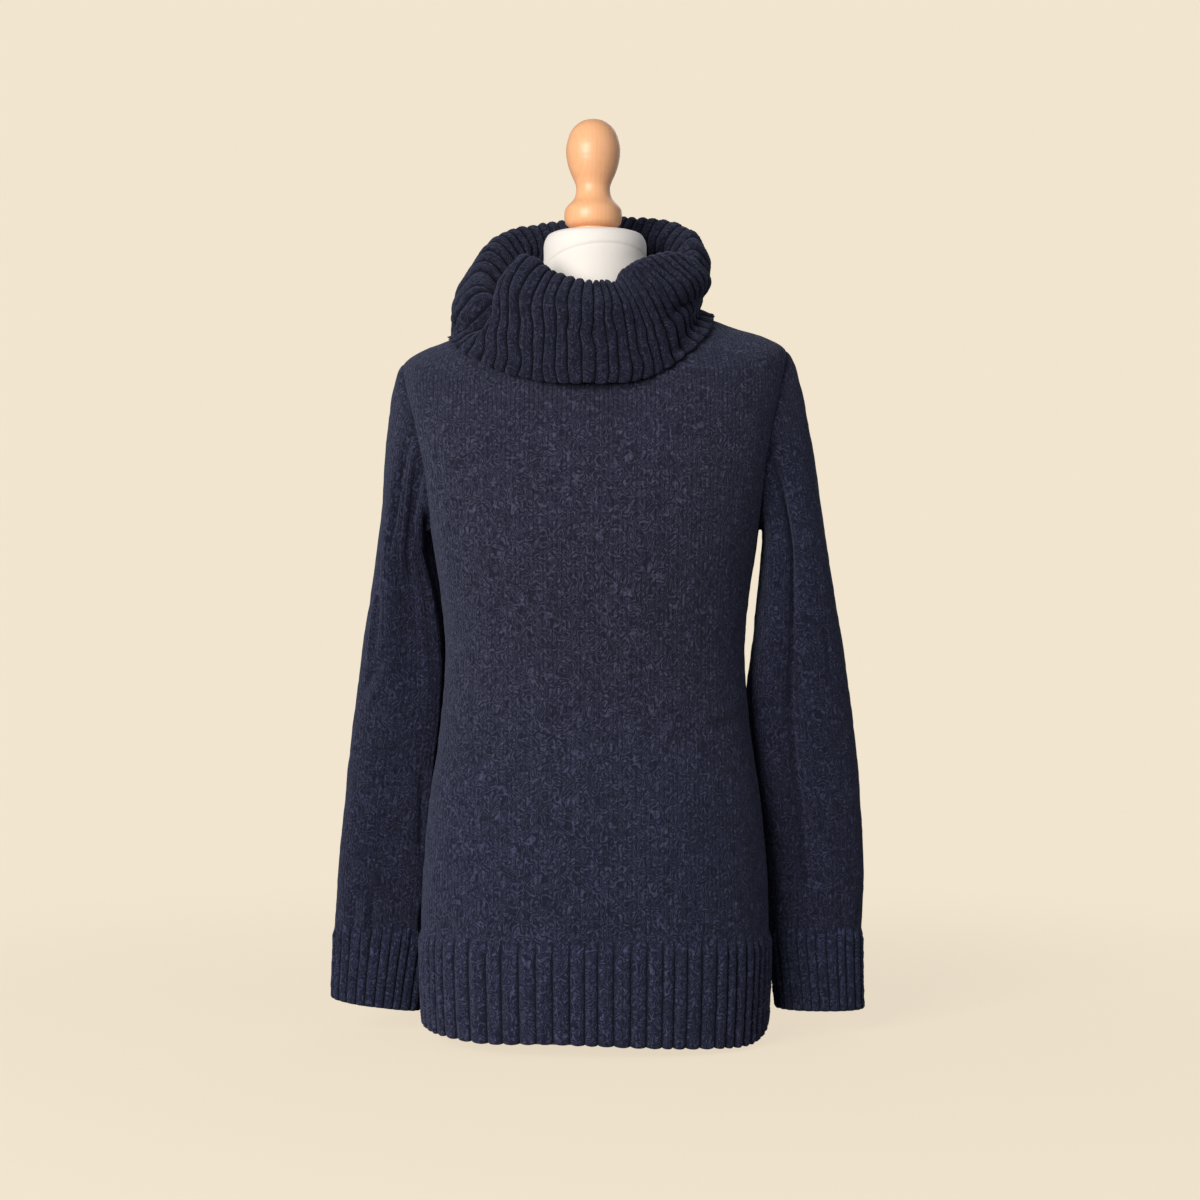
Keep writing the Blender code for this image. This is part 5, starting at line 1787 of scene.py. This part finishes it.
def make_world():
    world = bpy.data.worlds.new("plain_beige_studio")
    tree = emptied_tree(world)
    seen = put(tree, "ShaderNodeBackground", {"Color": (*BEIGE, 1), "Strength": 1.0})
    inputs = {"Color": (*WORLD_LIGHT, 1), "Strength": WORLD_STRENGTH}
    given = put(tree, "ShaderNodeBackground", inputs)
    eye = put(tree, "ShaderNodeLightPath").outputs["Is Camera Ray"]
    both = put(tree, "ShaderNodeMixShader", {0: eye, 1: given.outputs[0], 2: seen.outputs[0]})
    put(tree, "ShaderNodeOutputWorld", {"Surface": both.outputs[0]})
    bpy.context.scene.world = world


make_world()
print("world:", bpy.context.scene.world.name, "with strength", WORLD_STRENGTH)


# %% The floor
def make_floor():
    made = bpy.data.materials.new("plain_beige_floor")
    tree = emptied_tree(made)
    place = put(tree, "ShaderNodeTexCoord").outputs["Object"]
    away = put(tree, "ShaderNodeVectorMath", {0: place}, operation="LENGTH").outputs["Value"]
    here = soft_step(tree, away, *FLOOR_FADE)
    lit = put(tree, "ShaderNodeBsdfDiffuse", {"Color": (*(FLOOR_SHARE * v for v in BEIGE), 1)})
    eye = put(tree, "ShaderNodeLightPath").outputs["Is Camera Ray"]
    strength = weigh(tree, (eye, 1 - FLOOR_SHARE - FLOOR_GLOW), start=FLOOR_GLOW)
    glow = put(tree, "ShaderNodeEmission", {"Color": (*BEIGE, 1), "Strength": strength})
    both = put(tree, "ShaderNodeAddShader", {0: lit.outputs[0], 1: glow.outputs[0]})
    clear = put(tree, "ShaderNodeBsdfTransparent")
    mixed = put(tree, "ShaderNodeMixShader", {0: here, 1: clear.outputs[0], 2: both.outputs[0]})
    put(tree, "ShaderNodeOutputMaterial", {"Surface": mixed.outputs[0]})
    disc = bmesh.new()
    bmesh.ops.create_circle(disc, cap_ends=True, radius=FLOOR_RADIUS, segments=96)
    mesh = bpy.data.meshes.new("studio_floor")
    disc.to_mesh(mesh)
    disc.free()
    mesh.transform(Matrix.Translation((0, 0, -FLOOR_DROP)))
    mesh.materials.append(made)
    return new_object("studio_floor", mesh)


make_floor()
print("floor:", 2 * FLOOR_RADIUS, "m across")

# %% [markdown]
# ## Lights and camera
# One large soft light stands at the left in front, a little above the sweater.  A weak,
# wide one at the right keeps the far sleeve from going black, and another one lights
# the back.  Large lights give the soft edges of window light.  The camera stands level
# with the sweater's middle, far enough away that the sides run nearly parallel, as in
# the picture.

# %% Lights
LIGHTS = {  # place, size, power, colour
    "window_light": ((-1.45, -2.38, 1.20), 1.5, 99.0, (1.0, 0.985, 0.96)),
    "room_fill": ((2.2, -1.7, 1.6), 1.8, 8.0, (0.95, 0.97, 1.0)),
    "back_fill": ((0.6, 2.2, 1.7), 1.6, 10.0, (1.0, 0.98, 0.96)),
}
LIGHT_AIM = Vector((0, 0, 0.48))

for name, (place, size, power, color) in LIGHTS.items():
    light = bpy.data.lights.new(name, "AREA")
    light.shape = "SQUARE"
    light.size = size
    light.energy = power
    light.color = color
    lamp = new_object(name, light)
    lamp.location = place
    lamp.rotation_euler = (LIGHT_AIM - Vector(place)).to_track_quat("-Z", "Y").to_euler()
print("lights:", ", ".join(f"{name} {power} W" for name, (_, _, power, _) in LIGHTS.items()))

# %% Camera
CAMERA_PLACE = (0.005, -2.3, 0.45)
CAMERA_LENS = 66.99
camera = new_object("camera", bpy.data.cameras.new("camera"))
camera.location = CAMERA_PLACE
camera.rotation_euler = (math.radians(90), 0, 0)
camera.data.lens = CAMERA_LENS
camera.data.sensor_width = 36.0
camera.data.clip_start = 0.05
bpy.context.scene.camera = camera
bpy.context.scene.view_settings.view_transform = "Standard"
bpy.context.scene.view_settings.look = "None"
print("camera at", CAMERA_PLACE, "lens", CAMERA_LENS)

# %% [markdown]
# ## The last step
# The view layer is brought up to date.

# %% Finish
bpy.context.view_layer.update()
